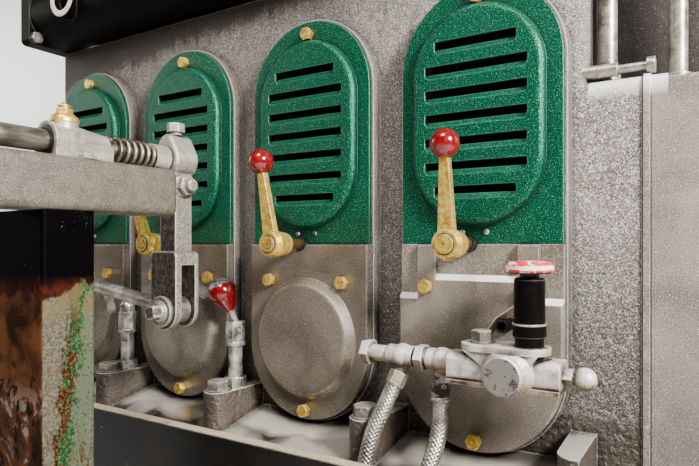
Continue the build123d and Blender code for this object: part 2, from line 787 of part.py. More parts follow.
def hand_lever(x, lean):
    """Hand lever in place: hub, spindle and arm, leaning to the left by lean degrees."""
    hub = turned_y(
        (
            (0, LEVER_FRONT_Y - HUB_DISC_RISE),
            (HUB_DISC_R, LEVER_FRONT_Y - HUB_DISC_RISE),
            (HUB_DISC_R, LEVER_FRONT_Y),
            (HUB_FRONT_R, LEVER_FRONT_Y),
            (HUB_MIDDLE_R, LEVER_FRONT_Y + HUB_SHOULDER),
            (HUB_BACK_R, HUB_BACK_Y - HUB_BACK_CHAMFER),
            (HUB_BACK_R - HUB_BACK_CHAMFER, HUB_BACK_Y),
            (SPINDLE_R, HUB_BACK_Y),
            (SPINDLE_R, BUSH_Y + SPINDLE_DEPTH),
            (0, BUSH_Y + SPINDLE_DEPTH),
        ),
        0,
        0,
    )
    lever = hub + Pos(0, lever_middle_y(), 0) * lever_arm()
    return Pos(x, 0, SEAM_Z) * Rot(0, -lean, 0) * lever


def lever_knob(x, lean):
    """Round knob on the tip of a hand lever."""
    ball = Rot(ARM_OUTWARD_DEG, 0, 0) * Pos(0, 0, KNOB_HEIGHT) * Sphere(KNOB_R)
    knob = Pos(0, lever_middle_y(), 0) * (ball - lever_arm())
    return Pos(x, 0, SEAM_Z) * Rot(0, -lean, 0) * knob


def bed_rail():
    """Front bed rail: web, seat for the casting and foot."""
    seat_y = WEB_INNER_Y + RAIL_SEAT_WIDTH
    foot_y = WEB_INNER_Y + RAIL_FOOT_WIDTH
    rail = span(RAIL_LEFT_X, RAIL_RIGHT_X, WEB_OUTER_Y, WEB_INNER_Y, 0, RAIL_TOP_Z)
    rail += span(RAIL_LEFT_X, RAIL_RIGHT_X, WEB_INNER_Y, seat_y, BLOCK_BASE_Z - RAIL_FLANGE, BLOCK_BASE_Z)
    rail += span(RAIL_LEFT_X, RAIL_RIGHT_X, WEB_INNER_Y, foot_y, 0, RAIL_FLANGE)
    for x in (-FOUNDATION_X, FOUNDATION_X):
        rail -= round_z(FOUNDATION_HOLE_R, -LAP, RAIL_FLANGE + LAP, x, FOUNDATION_Y)
    return rail


def cross_member(x_inner):
    """Open-bottomed channel across the bed, from web to web."""
    x0, x1 = sorted((x_inner, x_inner + math.copysign(CROSS_WIDTH, x_inner)))
    top = RAIL_FLANGE + CROSS_HEIGHT
    channel = span(x0, x1, WEB_INNER_Y, -WEB_INNER_Y, RAIL_FLANGE, top)
    inside = span(x0 + CROSS_WALL, x1 - CROSS_WALL, WEB_INNER_Y, -WEB_INNER_Y, 0, top - CROSS_WALL)
    return channel - inside


def sump():
    """Oil sump under the casting, narrower at its floor, with a drain plug."""
    profile = (
        (-SUMP_TOP_HALF_WIDTH, BLOCK_BASE_Z),
        (-SUMP_FLOOR_HALF_WIDTH, SUMP_FLOOR_Z),
        (SUMP_FLOOR_HALF_WIDTH, SUMP_FLOOR_Z),
        (SUMP_TOP_HALF_WIDTH, BLOCK_BASE_Z),
    )
    pan = along_x(profile, BLOCK_LEFT_X + SUMP_END_MARGIN, FOOT_RIGHT_X - SUMP_END_MARGIN)
    pan = fillet(pan.edges().group_by(Axis.Z)[0], SUMP_EDGE_R)
    return pan + round_z(DRAIN_R, SUMP_FLOOR_Z - DRAIN_LENGTH, SUMP_FLOOR_Z, 0, 0)


def cylinder_head(x):
    """One cylinder head."""
    half = HEAD_LENGTH / 2
    head = span(x - half, x + half, -HEAD_HALF_WIDTH, HEAD_HALF_WIDTH, DECK_Z, DECK_Z + HEAD_HEIGHT)
    return fillet(head.edges().filter_by(Axis.Z), HEAD_CORNER_R)


def rocker_cover(x):
    """Rocker cover on one head."""
    base = DECK_Z + HEAD_HEIGHT
    half = ROCKER_LENGTH / 2
    cover = span(x - half, x + half, -ROCKER_HALF_WIDTH, ROCKER_HALF_WIDTH, base, base + ROCKER_HEIGHT)
    cover = fillet(cover.edges().filter_by(Axis.Z), ROCKER_EDGE_R)
    return fillet(cover.faces().sort_by(Axis.Z)[-1].edges(), ROCKER_TOP_R)


def manifold_flange(x_left):
    """Square end flange of the manifold."""
    side = 2 * MANIFOLD_FLANGE_HALF
    face = RectangleRounded(side, side, MANIFOLD_FLANGE_CORNER_R)
    plane = Plane.YZ.offset(x_left)
    return extrude(plane * (Pos(MANIFOLD_Y, MANIFOLD_Z) * face), amount=MANIFOLD_FLANGE)


def exhaust_manifold():
    """Manifold pipe with a stub to each head, a square end flange and a round port near it."""
    left = BLOCK_LEFT_X - MANIFOLD_LEFT_REACH
    right = BLOCK_RIGHT_X - MANIFOLD_RIGHT_MARGIN
    head_y = -HEAD_HALF_WIDTH
    pipe = round_x(MANIFOLD_R, left, right, MANIFOLD_Y, MANIFOLD_Z)
    pipe += Pos(right, MANIFOLD_Y, MANIFOLD_Z) * Sphere(MANIFOLD_R)
    pipe += manifold_flange(left)
    half_width, half_height = STUB_FLANGE_WIDTH / 2, STUB_FLANGE_HEIGHT / 2
    z0, z1 = MANIFOLD_Z - half_height, MANIFOLD_Z + half_height
    for x in CENTRES:
        pipe += round_y(STUB_R, MANIFOLD_Y, head_y - LAP, x, MANIFOLD_Z)
        pipe += span(x - half_width, x + half_width, head_y - STUB_FLANGE, head_y, z0, z1)
    port_y = MANIFOLD_Y - PORT_REACH
    pipe += round_y(PORT_R, MANIFOLD_Y, port_y, CENTRES[0], MANIFOLD_Z)
    pipe -= round_y(PORT_BORE_R, port_y + PORT_DEPTH, port_y - LAP, CENTRES[0], MANIFOLD_Z)
    pipe -= round_x(MANIFOLD_BORE_R, left - LAP, right - MANIFOLD_CLOSED, MANIFOLD_Y, MANIFOLD_Z)
    for i in range(MANIFOLD_HOLES):
        angle = 2 * math.pi * (i + 0.5) / MANIFOLD_HOLES
        y = MANIFOLD_Y + MANIFOLD_PCD / 2 * math.cos(angle)
        z = MANIFOLD_Z + MANIFOLD_PCD / 2 * math.sin(angle)
        pipe -= round_x(MANIFOLD_HOLE_R, left - LAP, left + MANIFOLD_FLANGE + LAP, y, z)
    return pipe


def timing_case():
    """Timing case against the low right end of the casting: lip, raised rim and lower top."""
    case = shelf_section(CASE_X, CASE_END_X, 0)
    case = fillet(case.faces().sort_by(Axis.X)[-1].edges(), CASE_EDGE_R)
    case -= span(CASE_X + CASE_RIM, CASE_END_X + LAP, WALL_Y, -WALL_Y, SHELF_Z - CASE_DROP, SHELF_Z + LAP)
    return case + shelf_section(CASE_X, CASE_X + CASE_LIP, CASE_LIP_RISE)


def case_gasket():
    """Thin joint between the casting and the timing case."""
    return shelf_section(SEAT_X, CASE_X, CASE_LIP_RISE / 2)


def timing_upper_case(casting, case):
    """Narrow upper half of the timing case, set back behind the corner tubes."""
    y0 = WALL_Y + UPPER_CASE_SET_BACK
    x0 = BLOCK_RIGHT_X + UPPER_CASE_GAP
    upper = span(x0, CASE_END_X - UPPER_CASE_END_MARGIN, y0, -y0, SHELF_Z - CASE_DROP, DECK_Z)
    upper = fillet(upper.edges().filter_by(Axis.Z), UPPER_CASE_CORNER_R)
    return upper - casting - case - case_gasket()


def timing_cover():
    """Round cover with a hub on the end of the timing case."""
    z = CRANK_Z + CASE_COVER_RISE
    outer = CASE_END_X + CASE_COVER
    cover = round_x(CASE_COVER_R, CASE_END_X, outer, 0, z)
    cover = fillet(cover.faces().sort_by(Axis.X)[-1].edges(), CASE_COVER_EDGE_R)
    return cover + round_x(CASE_HUB_R, CASE_END_X, outer + CASE_HUB, 0, z)


def corner_tube(offset, inset, radius, casting, case):
    """Upright tube on its foot, beside the end of the casting."""
    x, y = BLOCK_RIGHT_X + offset, WALL_Y + inset
    low = SHELF_Z - CASE_DROP
    tube = round_z(radius, low, DECK_Z + TUBE_TOP_RISE, x, y)
    tube += round_z(radius + TUBE_FOOT_BORDER, low, SHELF_Z + TUBE_FOOT, x, y)
    return tube - casting - case - case_gasket()


def end_stud(casting):
    """Stud along X out of the end of the casting, with its collar and head."""
    y, z = WALL_Y + STUD_INSET, SHELF_Z + STUD_RISE
    tip = BLOCK_RIGHT_X + STUD_LENGTH
    stud = round_x(STUD_COLLAR_R, BLOCK_RIGHT_X - STUD_ROOT, BLOCK_RIGHT_X + STUD_COLLAR, y, z)
    stud += round_x(STUD_R, BLOCK_RIGHT_X, tip, y, z)
    return stud + round_x(STUD_HEAD_R, tip, tip + STUD_HEAD, y, z) - casting


def flywheel_housing():
    """Round housing at the left end."""
    housing = round_x(HOUSING_R, BLOCK_LEFT_X - HOUSING_LENGTH, BLOCK_LEFT_X, 0, CRANK_Z)
    return fillet(housing.faces().sort_by(Axis.X)[0].edges(), HOUSING_EDGE_R)


def output_flange():
    """Bolting flange on the end of the crankshaft."""
    right = BLOCK_LEFT_X - HOUSING_LENGTH
    left = right - OUTPUT_LENGTH
    flange = round_x(OUTPUT_R, left, right, 0, CRANK_Z)
    for i in range(OUTPUT_HOLES):
        angle = 2 * math.pi * i / OUTPUT_HOLES
        y = OUTPUT_PCD / 2 * math.cos(angle)
        z = CRANK_Z + OUTPUT_PCD / 2 * math.sin(angle)
        flange -= round_x(OUTPUT_HOLE_R, left - LAP, right - OUTPUT_HOLE_FLOOR, y, z)
    return flange


def cock(x):
    """Small cock that stands on a foot boss: hex base, body, ring and nut."""
    body = hex_z(COCK_BASE_AF, BOSS_TOP_Z, BOSS_TOP_Z + COCK_BASE, x, COCK_Y)
    body += round_z(COCK_BODY_R, BOSS_TOP_Z, COCK_RING_Z, x, COCK_Y)
    body += round_z(COCK_RING_R, COCK_RING_Z - COCK_RING, COCK_RING_Z, x, COCK_Y)
    return body + hex_z(COCK_NUT_AF, COCK_RING_Z, COCK_RING_Z + COCK_NUT, x, COCK_Y)


def cock_cap(x):
    """Domed cap on the nut of the cock that has no knob."""
    low = COCK_RING_Z + COCK_NUT
    cap = round_z(COCK_CAP_R, low, low + COCK_CAP - COCK_CAP_R, x, COCK_Y)
    return cap + Pos(x, COCK_Y, low + COCK_CAP - COCK_CAP_R) * Sphere(COCK_CAP_R)


def knob_place(x):
    """Where the tilted stem of a cock starts."""
    top = Pos(x, COCK_Y, COCK_RING_Z + COCK_NUT)
    return top * Rot(COCK_OUTWARD_DEG, 0, 0) * Rot(0, COCK_TILT_DEG, 0)


def cock_stem(x):
    """Thin stem that leans out of a cock's nut."""
    return knob_place(x) * round_z(COCK_STEM_R, -COCK_STEM_ROOT, COCK_STEM_LENGTH, 0, 0)


def cock_knob(x):
    """Pear-shaped knob on a cock's stem."""
    z_low = COCK_STEM_LENGTH
    z_ball = z_low + COCK_KNOB_LENGTH - COCK_KNOB_R
    slope = math.radians(COCK_KNOB_SLOPE_DEG)
    skirt_r = COCK_KNOB_R * math.cos(slope)
    skirt_top = z_ball - COCK_KNOB_R * math.sin(slope)
    skirt = Cone(COCK_KNOB_NECK_R, skirt_r, skirt_top - z_low)
    pear_shape = Pos(0, 0, z_ball) * Sphere(COCK_KNOB_R) + Pos(0, 0, (z_low + skirt_top) / 2) * skirt
    return knob_place(x) * pear_shape


def header_pipe():
    """Pipe with two tees and their nuts, from the end plug to the header body."""
    y, z = HEADER_PIPE_Y, HEADER_Z
    pipe = round_x(HEADER_PIPE_R, HEADER_LEFT_X, HEADER_BODY_LEFT_X, y, z)
    pipe += hex_x(NUT_AF, HEADER_LEFT_X, HEADER_LEFT_X + NUT_LENGTH, y, z)
    for tee in TEES:
        x = LAST_X + tee
        pipe += round_x(TEE_R, x - TEE_LENGTH / 2, x + TEE_LENGTH / 2, y, z)
        pipe += Pos(x, y, z) * Sphere(TEE_BALL_R)
    middle = LAST_X + sum(TEES) / 2
    pipe += hex_x(NUT_AF, middle - NUT_LENGTH / 2, middle + NUT_LENGTH / 2, y, z)
    return pipe + nipple(HOSE_LEFT_ROUTE) + nipple(HOSE_RIGHT_ROUTE)


def route_points(route):
    """Points of a hose's route in place."""
    return [Vector(LAST_X + dx, LOWER_Y - reach, FLANGE_EDGE_Z + rise) for dx, reach, rise in route]


def route_plane(point, beyond):
    """Plane square to a hose at one end of its route, facing away from the hose."""
    return Plane(origin=point, z_dir=point - beyond)


def nipple(route):
    """Nipple and nut from a tee down to the start of a hose."""
    start, beyond = route_points(route)[:2]
    plane = route_plane(start, beyond)
    nut = extrude(plane * hexagon(NIPPLE_NUT_AF), amount=NIPPLE_NUT)
    return nut + extrude(plane * Circle(NIPPLE_R), amount=HEADER_Z - start.Z)


def header_flange():
    """Oblong flange on top of the header body, under the pump and the bolt."""
    length = PUMP_X - HEADER_BOLT_X + 2 * HEADER_FLANGE_R
    oblong = Pos((HEADER_BOLT_X + PUMP_X) / 2, HEADER_BODY_Y) * SlotOverall(length, 2 * HEADER_FLANGE_R)
    return extrude(Pos(0, 0, HEADER_FLANGE_TOP_Z - HEADER_FLANGE) * oblong, amount=HEADER_FLANGE)


def header_web():
    """Web that narrows from the flange down to the plug boss."""
    outline = Polygon(
        (HEADER_BOLT_X - HEADER_WEB_SPREAD, HEADER_FLANGE_TOP_Z - HEADER_FLANGE),
        (PUMP_X + HEADER_WEB_SPREAD, HEADER_FLANGE_TOP_Z - HEADER_FLANGE),
        (PLUG_X + HEADER_WEB_FOOT, HEADER_Z),
        (PLUG_X - HEADER_WEB_FOOT, HEADER_Z),
        align=None,
    )
    return from_front(outline, HEADER_BODY_Y, HEADER_WEB_THICKNESS)


def header_body():
    """Cast header body: rounded box, oblong top flange, web, plug boss and bracket to the door."""
    x0, x1 = HEADER_BODY_LEFT_X, HEADER_BODY_RIGHT_X
    half_width, half_height = HEADER_BODY_WIDTH / 2, HEADER_BODY_HEIGHT / 2
    low = HEADER_Z - half_height
    body = span(x0, x1, HEADER_BODY_Y - half_width, HEADER_BODY_Y + half_width, low, HEADER_Z + half_height)
    body = fillet(body.edges().filter_by(Axis.X), HEADER_BODY_EDGE_R)
    strip = half_width + HEADER_STRIP_PROUD
    body += span(x0, x1, HEADER_BODY_Y - strip, HEADER_BODY_Y + strip, low, low + HEADER_STRIP)
    body += header_flange() + header_web()
    front = HEADER_BODY_Y - half_width
    boss = Rot(90, 0, 0) * Cone(PLUG_BOSS_R, PLUG_R, PLUG_BOSS)
    body += (Pos(PLUG_X, front - PLUG_BOSS / 2, HEADER_Z) * boss) & span(
        x0, x1, front - PLUG_BOSS, front, low, HEADER_FLANGE_TOP_Z - HEADER_FLANGE)
    plug = round_y(PLUG_R, HEADER_BODY_Y, HEADER_BODY_Y - PLUG_REACH, PLUG_X, HEADER_Z)
    body += chamfer(plug.faces().sort_by(Axis.Y)[0].edges(), PLUG_CHAMFER)
    middle = (HEADER_BOLT_X + PUMP_X) / 2
    half_foot, half_tall = HEADER_FOOT_WIDTH / 2, HEADER_FOOT_HEIGHT / 2
    foot = span(middle - half_foot, middle + half_foot, HEADER_BODY_Y, LOWER_Y, HEADER_Z - half_tall,
                HEADER_Z + half_tall)
    return body + foot


def header_outlet():
    """Union and small round valve at the right end of the header."""
    right = HEADER_BODY_RIGHT_X
    outlet = hex_x(UNION_AF, right, right + UNION_LENGTH, HEADER_BODY_Y, HEADER_Z)
    outlet += round_x(OUTLET_NECK_R, right, VALVE_X, HEADER_BODY_Y, HEADER_Z)
    return outlet + Pos(VALVE_X, HEADER_BODY_Y, HEADER_Z) * Sphere(VALVE_R)


def pump_barrel():
    """Upright barrel of the priming pump, with its foot, ring and bore."""
    base = HEADER_FLANGE_TOP_Z
    ring_low = base + BARREL_FOOT
    ring_top = ring_low + BARREL_RING
    profile = (
        (0, base),
        (BARREL_FOOT_R, base),
        (BARREL_FOOT_R, ring_low),
        (BARREL_RING_R, ring_low),
        (BARREL_RING_R, ring_top),
        (BARREL_R, ring_top),
        (BARREL_R, BARREL_TOP_Z - BARREL_CHAMFER),
        (BARREL_R - BARREL_CHAMFER, BARREL_TOP_Z),
        (0, BARREL_TOP_Z),
    )
    barrel = turned_z(profile, PUMP_X, HEADER_BODY_Y)
    floor = BARREL_TOP_Z - PLUNGER_DEPTH - PLUNGER_END_GAP
    return barrel - round_z(BARREL_BORE_R, floor, BARREL_TOP_Z + LAP, PUMP_X, HEADER_BODY_Y)


def pump_plunger():
    """Plunger with its neck and round hand disc."""
    bottom = BARREL_TOP_Z - PLUNGER_DEPTH
    low = BARREL_TOP_Z + PLUNGER_LIFT
    disc_low = low + PLUNGER_NECK
    disc_top = disc_low + DISC_THICKNESS
    profile = (
        (0, bottom),
        (PLUNGER_R, bottom),
        (PLUNGER_R, low),
        (PLUNGER_NECK_R, low),
        (PLUNGER_NECK_R, disc_low),
        (DISC_R - DISC_LOW_BEVEL, disc_low),
        (DISC_R, disc_low + DISC_LOW_BEVEL),
        (DISC_R, disc_top - DISC_CROWN - DISC_BEVEL),
        (DISC_R - DISC_BEVEL, disc_top - DISC_CROWN),
        (DISC_FLAT_R, disc_top),
        (0, disc_top),
    )
    return turned_z(profile, PUMP_X, HEADER_BODY_Y)


def hose(route):
    """Hose tube: straight runs joined by tangent arcs."""
    points = route_points(route)
    runs = [b - a for a, b in zip(points, points[1:])]
    radii = []
    for before, after in zip(runs, runs[1:]):
        half_turn = math.radians(before.get_angle(after)) / 2
        radii.append(HOSE_ARC_SHARE * min(before.length, after.length) / math.tan(half_turn))
    path = FilletPolyline(*points, radius=radii)
    section = Plane(origin=points[0], z_dir=runs[0]) * Circle(HOSE_R)
    return sweep(section, path=path)


def hose_socket(route, casting):
    """Socket that holds the lower end of a hose on the foot flange."""
    before, end = route_points(route)[-2:]
    return extrude(route_plane(end, before) * Circle(SOCKET_R), amount=SOCKET_LENGTH) - casting


def control_post():
    """Post under the control bar, on a foot plate that reaches the front bed rail."""
    left = POST_RIGHT_X - POST_WIDTH
    post = span(left, POST_RIGHT_X, POST_NEAR_Y, POST_NEAR_Y + POST_DEPTH, 0, BAR_BOTTOM_Z)
    post = fillet(post.edges().filter_by(Axis.Z), POST_CORNER_R)
    x0, x1 = left - POST_FOOT_BORDER, POST_RIGHT_X + POST_FOOT_BORDER
    return post + span(x0, x1, POST_NEAR_Y - POST_FOOT_BORDER, WEB_OUTER_Y, 0, POST_FOOT)


def control_bar():
    """Thick bar with rounded edges across the top of the post."""
    left = BAR_RIGHT_X - BAR_WIDTH
    bar = span(left, BAR_RIGHT_X, BAR_NEAR_Y, BAR_END_Y, BAR_BOTTOM_Z, BAR_TOP_Z)
    return fillet(bar.edges(), BAR_EDGE_R)


def shaft_bearing():
    """Tapering bearing on the bar, with a rim at its near end, a foot and a foot lug."""
    near, far = BEARING_NEAR_Y, BEARING_FAR_Y
    profile = (
        (0, near),
        (BEARING_RIM_R, near),
        (BEARING_RIM_R, near + BEARING_RIM),
        (BEARING_NEAR_R, near + BEARING_RIM),
        (BEARING_NEAR_R, (near + far) / 2),
        (BEARING_FAR_R, far),
        (0, far),
    )
    housing = turned_y(profile, SHAFT_X, SHAFT_Z)
    housing += span(SHAFT_X - BEARING_NEAR_R, SHAFT_X + BEARING_NEAR_R, near, far, BAR_TOP_Z, SHAFT_Z)
    reach = BEARING_RIM_R + LAP
    housing &= span(SHAFT_X - reach, SHAFT_X + reach, near, far, BAR_TOP_Z, SHAFT_Z + reach)
    lug_y = near + BEARING_LUG_INSET
    housing += span(SHAFT_X, SHAFT_X + BEARING_LUG_REACH, lug_y, lug_y + BEARING_LUG_WIDTH, BAR_TOP_Z,
                    BAR_TOP_Z + BEARING_LUG)
    housing += round_z(CUP_SEAT_R, SHAFT_Z, CUP_SEAT_Z, SHAFT_X, CUP_Y)
    return housing - round_y(SHAFT_R + RUNNING_GAP, near - LAP, far + LAP, SHAFT_X, SHAFT_Z)


def grease_cup():
    """Grease cup: hexagon, round neck and nipple."""
    hex_top = CUP_SEAT_Z + CUP_HEX
    neck_top = hex_top + CUP_HEIGHT
    cup = hex_z(CUP_HEX_AF, CUP_SEAT_Z, hex_top, SHAFT_X, CUP_Y)
    cup += round_z(CUP_R, CUP_SEAT_Z, neck_top, SHAFT_X, CUP_Y)
    return cup + round_z(CUP_NIPPLE_R, neck_top, neck_top + CUP_NIPPLE, SHAFT_X, CUP_Y)


def control_shaft():
    """Control shaft with its collar."""
    shaft = round_y(SHAFT_R, SHAFT_NEAR_Y, SHAFT_END_Y, SHAFT_X, SHAFT_Z)
    return shaft + round_y(COLLAR_R, COLLAR_NEAR_Y, COLLAR_FAR_Y, SHAFT_X, SHAFT_Z)


def shaft_spring():
    """Coiled spring around the shaft, as its turned outer shape."""
    y0 = BEARING_FAR_Y + SPRING_SEAT_GAP
    y1 = COLLAR_NEAR_Y - SPRING_SEAT_GAP
    step = (y1 - y0) / SPRING_TURNS
    inner = SHAFT_R + SPRING_SEAT_GAP
    valley = SPRING_R - SPRING_WIRE_R
    rise = (1 - SPRING_CREST) / 2
    points = [(inner, y0)]
    for i in range(SPRING_TURNS):
        points += [
            (valley, y0 + i * step),
            (SPRING_R, y0 + (i + rise) * step),
            (SPRING_R, y0 + (i + 1 - rise) * step),
        ]
    points += [(valley, y1), (inner, y1)]
    return turned_y(points, SHAFT_X, SHAFT_Z)


def control_lever():
    """Lever clamped on the shaft: pear-shaped hub, arm and clevis."""
    outline = Pos(SHAFT_X, SHAFT_Z) * pear(LEVER_HUB_R, CLAMP_LUG_R, CLAMP_LUG_CENTRE)
    lever = from_front(outline, LEVER_HUB_FAR_Y, LEVER_HUB_LENGTH)
    lever = fillet(lever.faces().sort_by(Axis.Y)[0].edges(), LEVER_EDGE_R)
    half_width, half_thick = CONTROL_ARM_WIDTH / 2, CONTROL_ARM_THICKNESS / 2
    near, far = CONTROL_Y - half_thick, CONTROL_Y + half_thick
    lever += span(SHAFT_X - half_width, SHAFT_X + half_width, near, far, CLEVIS_TOP_Z - LAP, SHAFT_Z)
    x0, x1 = SHAFT_X - CLEVIS_HALF_WIDTH, SHAFT_X + CLEVIS_HALF_WIDTH
    block = span(x0, x1, CLEVIS_NEAR_Y, LEVER_HUB_FAR_Y, PIN_Z, CLEVIS_TOP_Z)
    clevis = fillet(block.edges().filter_by(Axis.Y).group_by(Axis.Z)[-1], CLEVIS_CORNER_R)
    clevis += round_y(CLEVIS_HALF_WIDTH, CLEVIS_NEAR_Y, LEVER_HUB_FAR_Y, SHAFT_X, PIN_Z)
    slot_low = PIN_Z - CLEVIS_HALF_WIDTH - LAP
    half_slot = SLOT_WIDTH / 2
    clevis -= span(x0 - LAP, x1 + LAP, CONTROL_Y - half_slot, CONTROL_Y + half_slot, slot_low, SLOT_TOP_Z)
    lever += clevis
    lever -= round_y(PIN_R, CLEVIS_NEAR_Y - LAP, LEVER_HUB_FAR_Y + LAP, SHAFT_X, PIN_Z)
    return lever - round_y(SHAFT_R, LEVER_HUB_NEAR_Y - LAP, SHAFT_END_Y + LAP, SHAFT_X, SHAFT_Z)


def clevis_pin():
    """Pin through the clevis, with its head, washer and nut."""
    washer_y = CLEVIS_NEAR_Y - PIN_WASHER
    nut_y = LEVER_HUB_FAR_Y + PIN_NUT
    pin = round_y(PIN_R, washer_y - PIN_HEAD_LENGTH, nut_y + PIN_TAIL, SHAFT_X, PIN_Z)
    pin += round_y(PIN_WASHER_R, washer_y, CLEVIS_NEAR_Y, SHAFT_X, PIN_Z)
    return pin + from_front(Pos(SHAFT_X, PIN_Z) * hexagon(PIN_NUT_AF), nut_y, PIN_NUT)


def control_rod():
    """Rod from the clevis to the governor arm, with an eye at each end."""
    dx, dz = GOVERNOR_X - SHAFT_X, ROD_TAIL_Z - PIN_Z
    length = math.hypot(dx, dz)
    angle = math.degrees(math.atan2(dz, -dx))
    half_eye = SLOT_WIDTH / 2 - ROD_EYE_GAP
    half_tail = ROD_TAIL_THICKNESS / 2
    bar = round_x(ROD_R, -length, 0, CONTROL_Y, 0)
    flat_end = -length + GOVERNOR_EYE_R + ROD_FLAT
    for side in (-1, 1):
        y0 = CONTROL_Y + side * half_tail
        bar -= span(-length - LAP, flat_end, y0, CONTROL_Y + side * (ROD_R + LAP), -ROD_R, ROD_R)
    rod = bar + round_y(ROD_EYE_R, CONTROL_Y - half_eye, CONTROL_Y + half_eye, 0, 0)
    rod += round_y(GOVERNOR_EYE_R, CONTROL_Y - half_tail, CONTROL_Y + half_tail, -length, 0)
    y0, y1 = CONTROL_Y - half_eye - LAP, CONTROL_Y + half_eye + LAP
    rod -= round_y(PIN_R + RUNNING_GAP, y0, y1, 0, 0)
    rod -= round_y(GOVERNOR_PIN_R + GOVERNOR_PIN_GAP, y0, y1, -length, 0)
    return Pos(SHAFT_X, 0, PIN_Z) * Rot(0, angle, 0) * rod


def governor_arm():
    """Arm that hangs from the governor shaft and takes the rod's tail on its pin."""
    near = GOVERNOR_ARM_Y
    far = near + GOVERNOR_ARM_THICKNESS
    half = GOVERNOR_ARM_WIDTH / 2
    pin_y = CONTROL_Y - ROD_TAIL_THICKNESS / 2 - GOVERNOR_PIN_PROUD
    bore_r = GOVERNOR_SHAFT_R + RUNNING_GAP
    arm = round_y(GOVERNOR_HUB_R, near, near + GOVERNOR_HUB, GOVERNOR_X, GOVERNOR_Z)
    arm += round_y(GOVERNOR_EYE_R, near, far, GOVERNOR_X, ROD_TAIL_Z)
    arm += span(GOVERNOR_X - half, GOVERNOR_X + half, near, far, ROD_TAIL_Z, GOVERNOR_Z)
    arm += round_y(GOVERNOR_PIN_R, pin_y, far, GOVERNOR_X, ROD_TAIL_Z)
    return arm - round_y(bore_r, near + GOVERNOR_CAP, near + GOVERNOR_HUB + LAP, GOVERNOR_X, GOVERNOR_Z)


def build():
    """Make every piece and write it."""
    casting = engine_block()
    put("engine_block", casting)
    rail = bed_rail()
    put("bed_rail_front", rail)
    put("bed_rail_back", mirror(rail, about=Plane.XZ))
    put("bed_cross_members", cross_member(BLOCK_LEFT_X - CROSS_GAP), cross_member(FOOT_RIGHT_X + CROSS_GAP))
    put("sump", sump())

    louvred = upper_door(True)
    domed = domed_door()
    for number, x in enumerate(CENTRES, start=1):
        put(f"upper_door_{number}", Pos(x, 0, 0) * louvred)
        last = number == CYLINDERS
        put(f"lower_door_{number}", Pos(x, 0, 0) * (stepped_door() if last else domed - bush_notch()))
    plain = upper_door(False)
    put("rear_upper_doors", *[mirror(Pos(x, 0, 0) * plain, about=Plane.XZ) for x in CENTRES])
    put("rear_lower_doors", *[mirror(Pos(x, 0, 0) * domed, about=Plane.XZ) for x in CENTRES])

    for number, (x, lean) in enumerate(zip(LEVER_XS, LEVER_LEANS), start=1):
        put(f"hand_lever_{number}", hand_lever(x, lean))
        put(f"lever_knob_{number}", lever_knob(x, lean))

    put("cylinder_heads", *[cylinder_head(x) for x in CENTRES])
    put("rocker_covers", *[rocker_cover(x) for x in CENTRES])
    put("exhaust_manifold", exhaust_manifold())

    case = timing_case()
    put("timing_case", case)
    put("timing_gasket", case_gasket())
    put("timing_upper_case", timing_upper_case(casting, case))
    put("timing_cover", timing_cover())
    put("corner_tubes", *[corner_tube(*tube, casting, case) for tube in TUBES])
    put("end_stud", end_stud(casting))
    put("flywheel_housing", flywheel_housing())
    put("output_flange", output_flange())

    capped_x, knob_x = [x + COCK_OFFSET_X for x in BOSS_XS[1:3]]
    put("cocks", cock(capped_x) + cock_cap(capped_x), cock(knob_x) + cock_stem(knob_x))
    put("cock_knob", cock_knob(knob_x))

    put("header_pipe", header_pipe())
    put("header_body", header_body())
    put("header_outlet", header_outlet())
    put("pump_barrel", pump_barrel())
    put("pump_plunger", pump_plunger())
    put("fuel_hose_left", hose(HOSE_LEFT_ROUTE))
    put("fuel_hose_right", hose(HOSE_RIGHT_ROUTE))
    put("hose_sockets", *[hose_socket(route, casting) for route in (HOSE_LEFT_ROUTE, HOSE_RIGHT_ROUTE)])

    put("control_post", control_post())
    put("control_bar", control_bar())
    put("shaft_bearing", shaft_bearing())
    put("grease_cup", grease_cup())
    put("shaft_spring", shaft_spring())
    put("control_shaft", control_shaft())
    put("control_lever", control_lever())
    put("clevis_pin", clevis_pin())
    put("control_rod", control_rod())
    put("governor_arm", governor_arm())


build()
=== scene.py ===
"""Looks of the four-cylinder marine diesel engine: finishes, bolts, hoses, light and camera.

Metres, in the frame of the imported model: X along the crankshaft, the hand levers on
the -Y side, Z = 0 on the floor.
"""

import json
import math
import random

import bmesh
import bpy
from mathutils import Matrix, Vector


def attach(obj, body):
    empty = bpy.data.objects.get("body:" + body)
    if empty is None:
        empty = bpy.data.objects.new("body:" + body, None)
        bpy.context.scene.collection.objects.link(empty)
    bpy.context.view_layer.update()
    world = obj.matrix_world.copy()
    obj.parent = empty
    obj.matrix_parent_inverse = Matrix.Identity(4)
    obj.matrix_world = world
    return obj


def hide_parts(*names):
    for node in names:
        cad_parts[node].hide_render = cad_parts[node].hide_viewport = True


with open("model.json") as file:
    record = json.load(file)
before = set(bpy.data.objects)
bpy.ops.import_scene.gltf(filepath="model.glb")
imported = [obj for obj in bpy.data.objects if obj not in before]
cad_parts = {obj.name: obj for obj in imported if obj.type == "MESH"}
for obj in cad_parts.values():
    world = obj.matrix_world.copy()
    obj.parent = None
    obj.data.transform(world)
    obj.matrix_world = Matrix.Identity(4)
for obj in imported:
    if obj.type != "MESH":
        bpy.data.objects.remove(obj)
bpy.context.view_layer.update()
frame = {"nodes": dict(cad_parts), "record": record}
nodes = frame["nodes"]


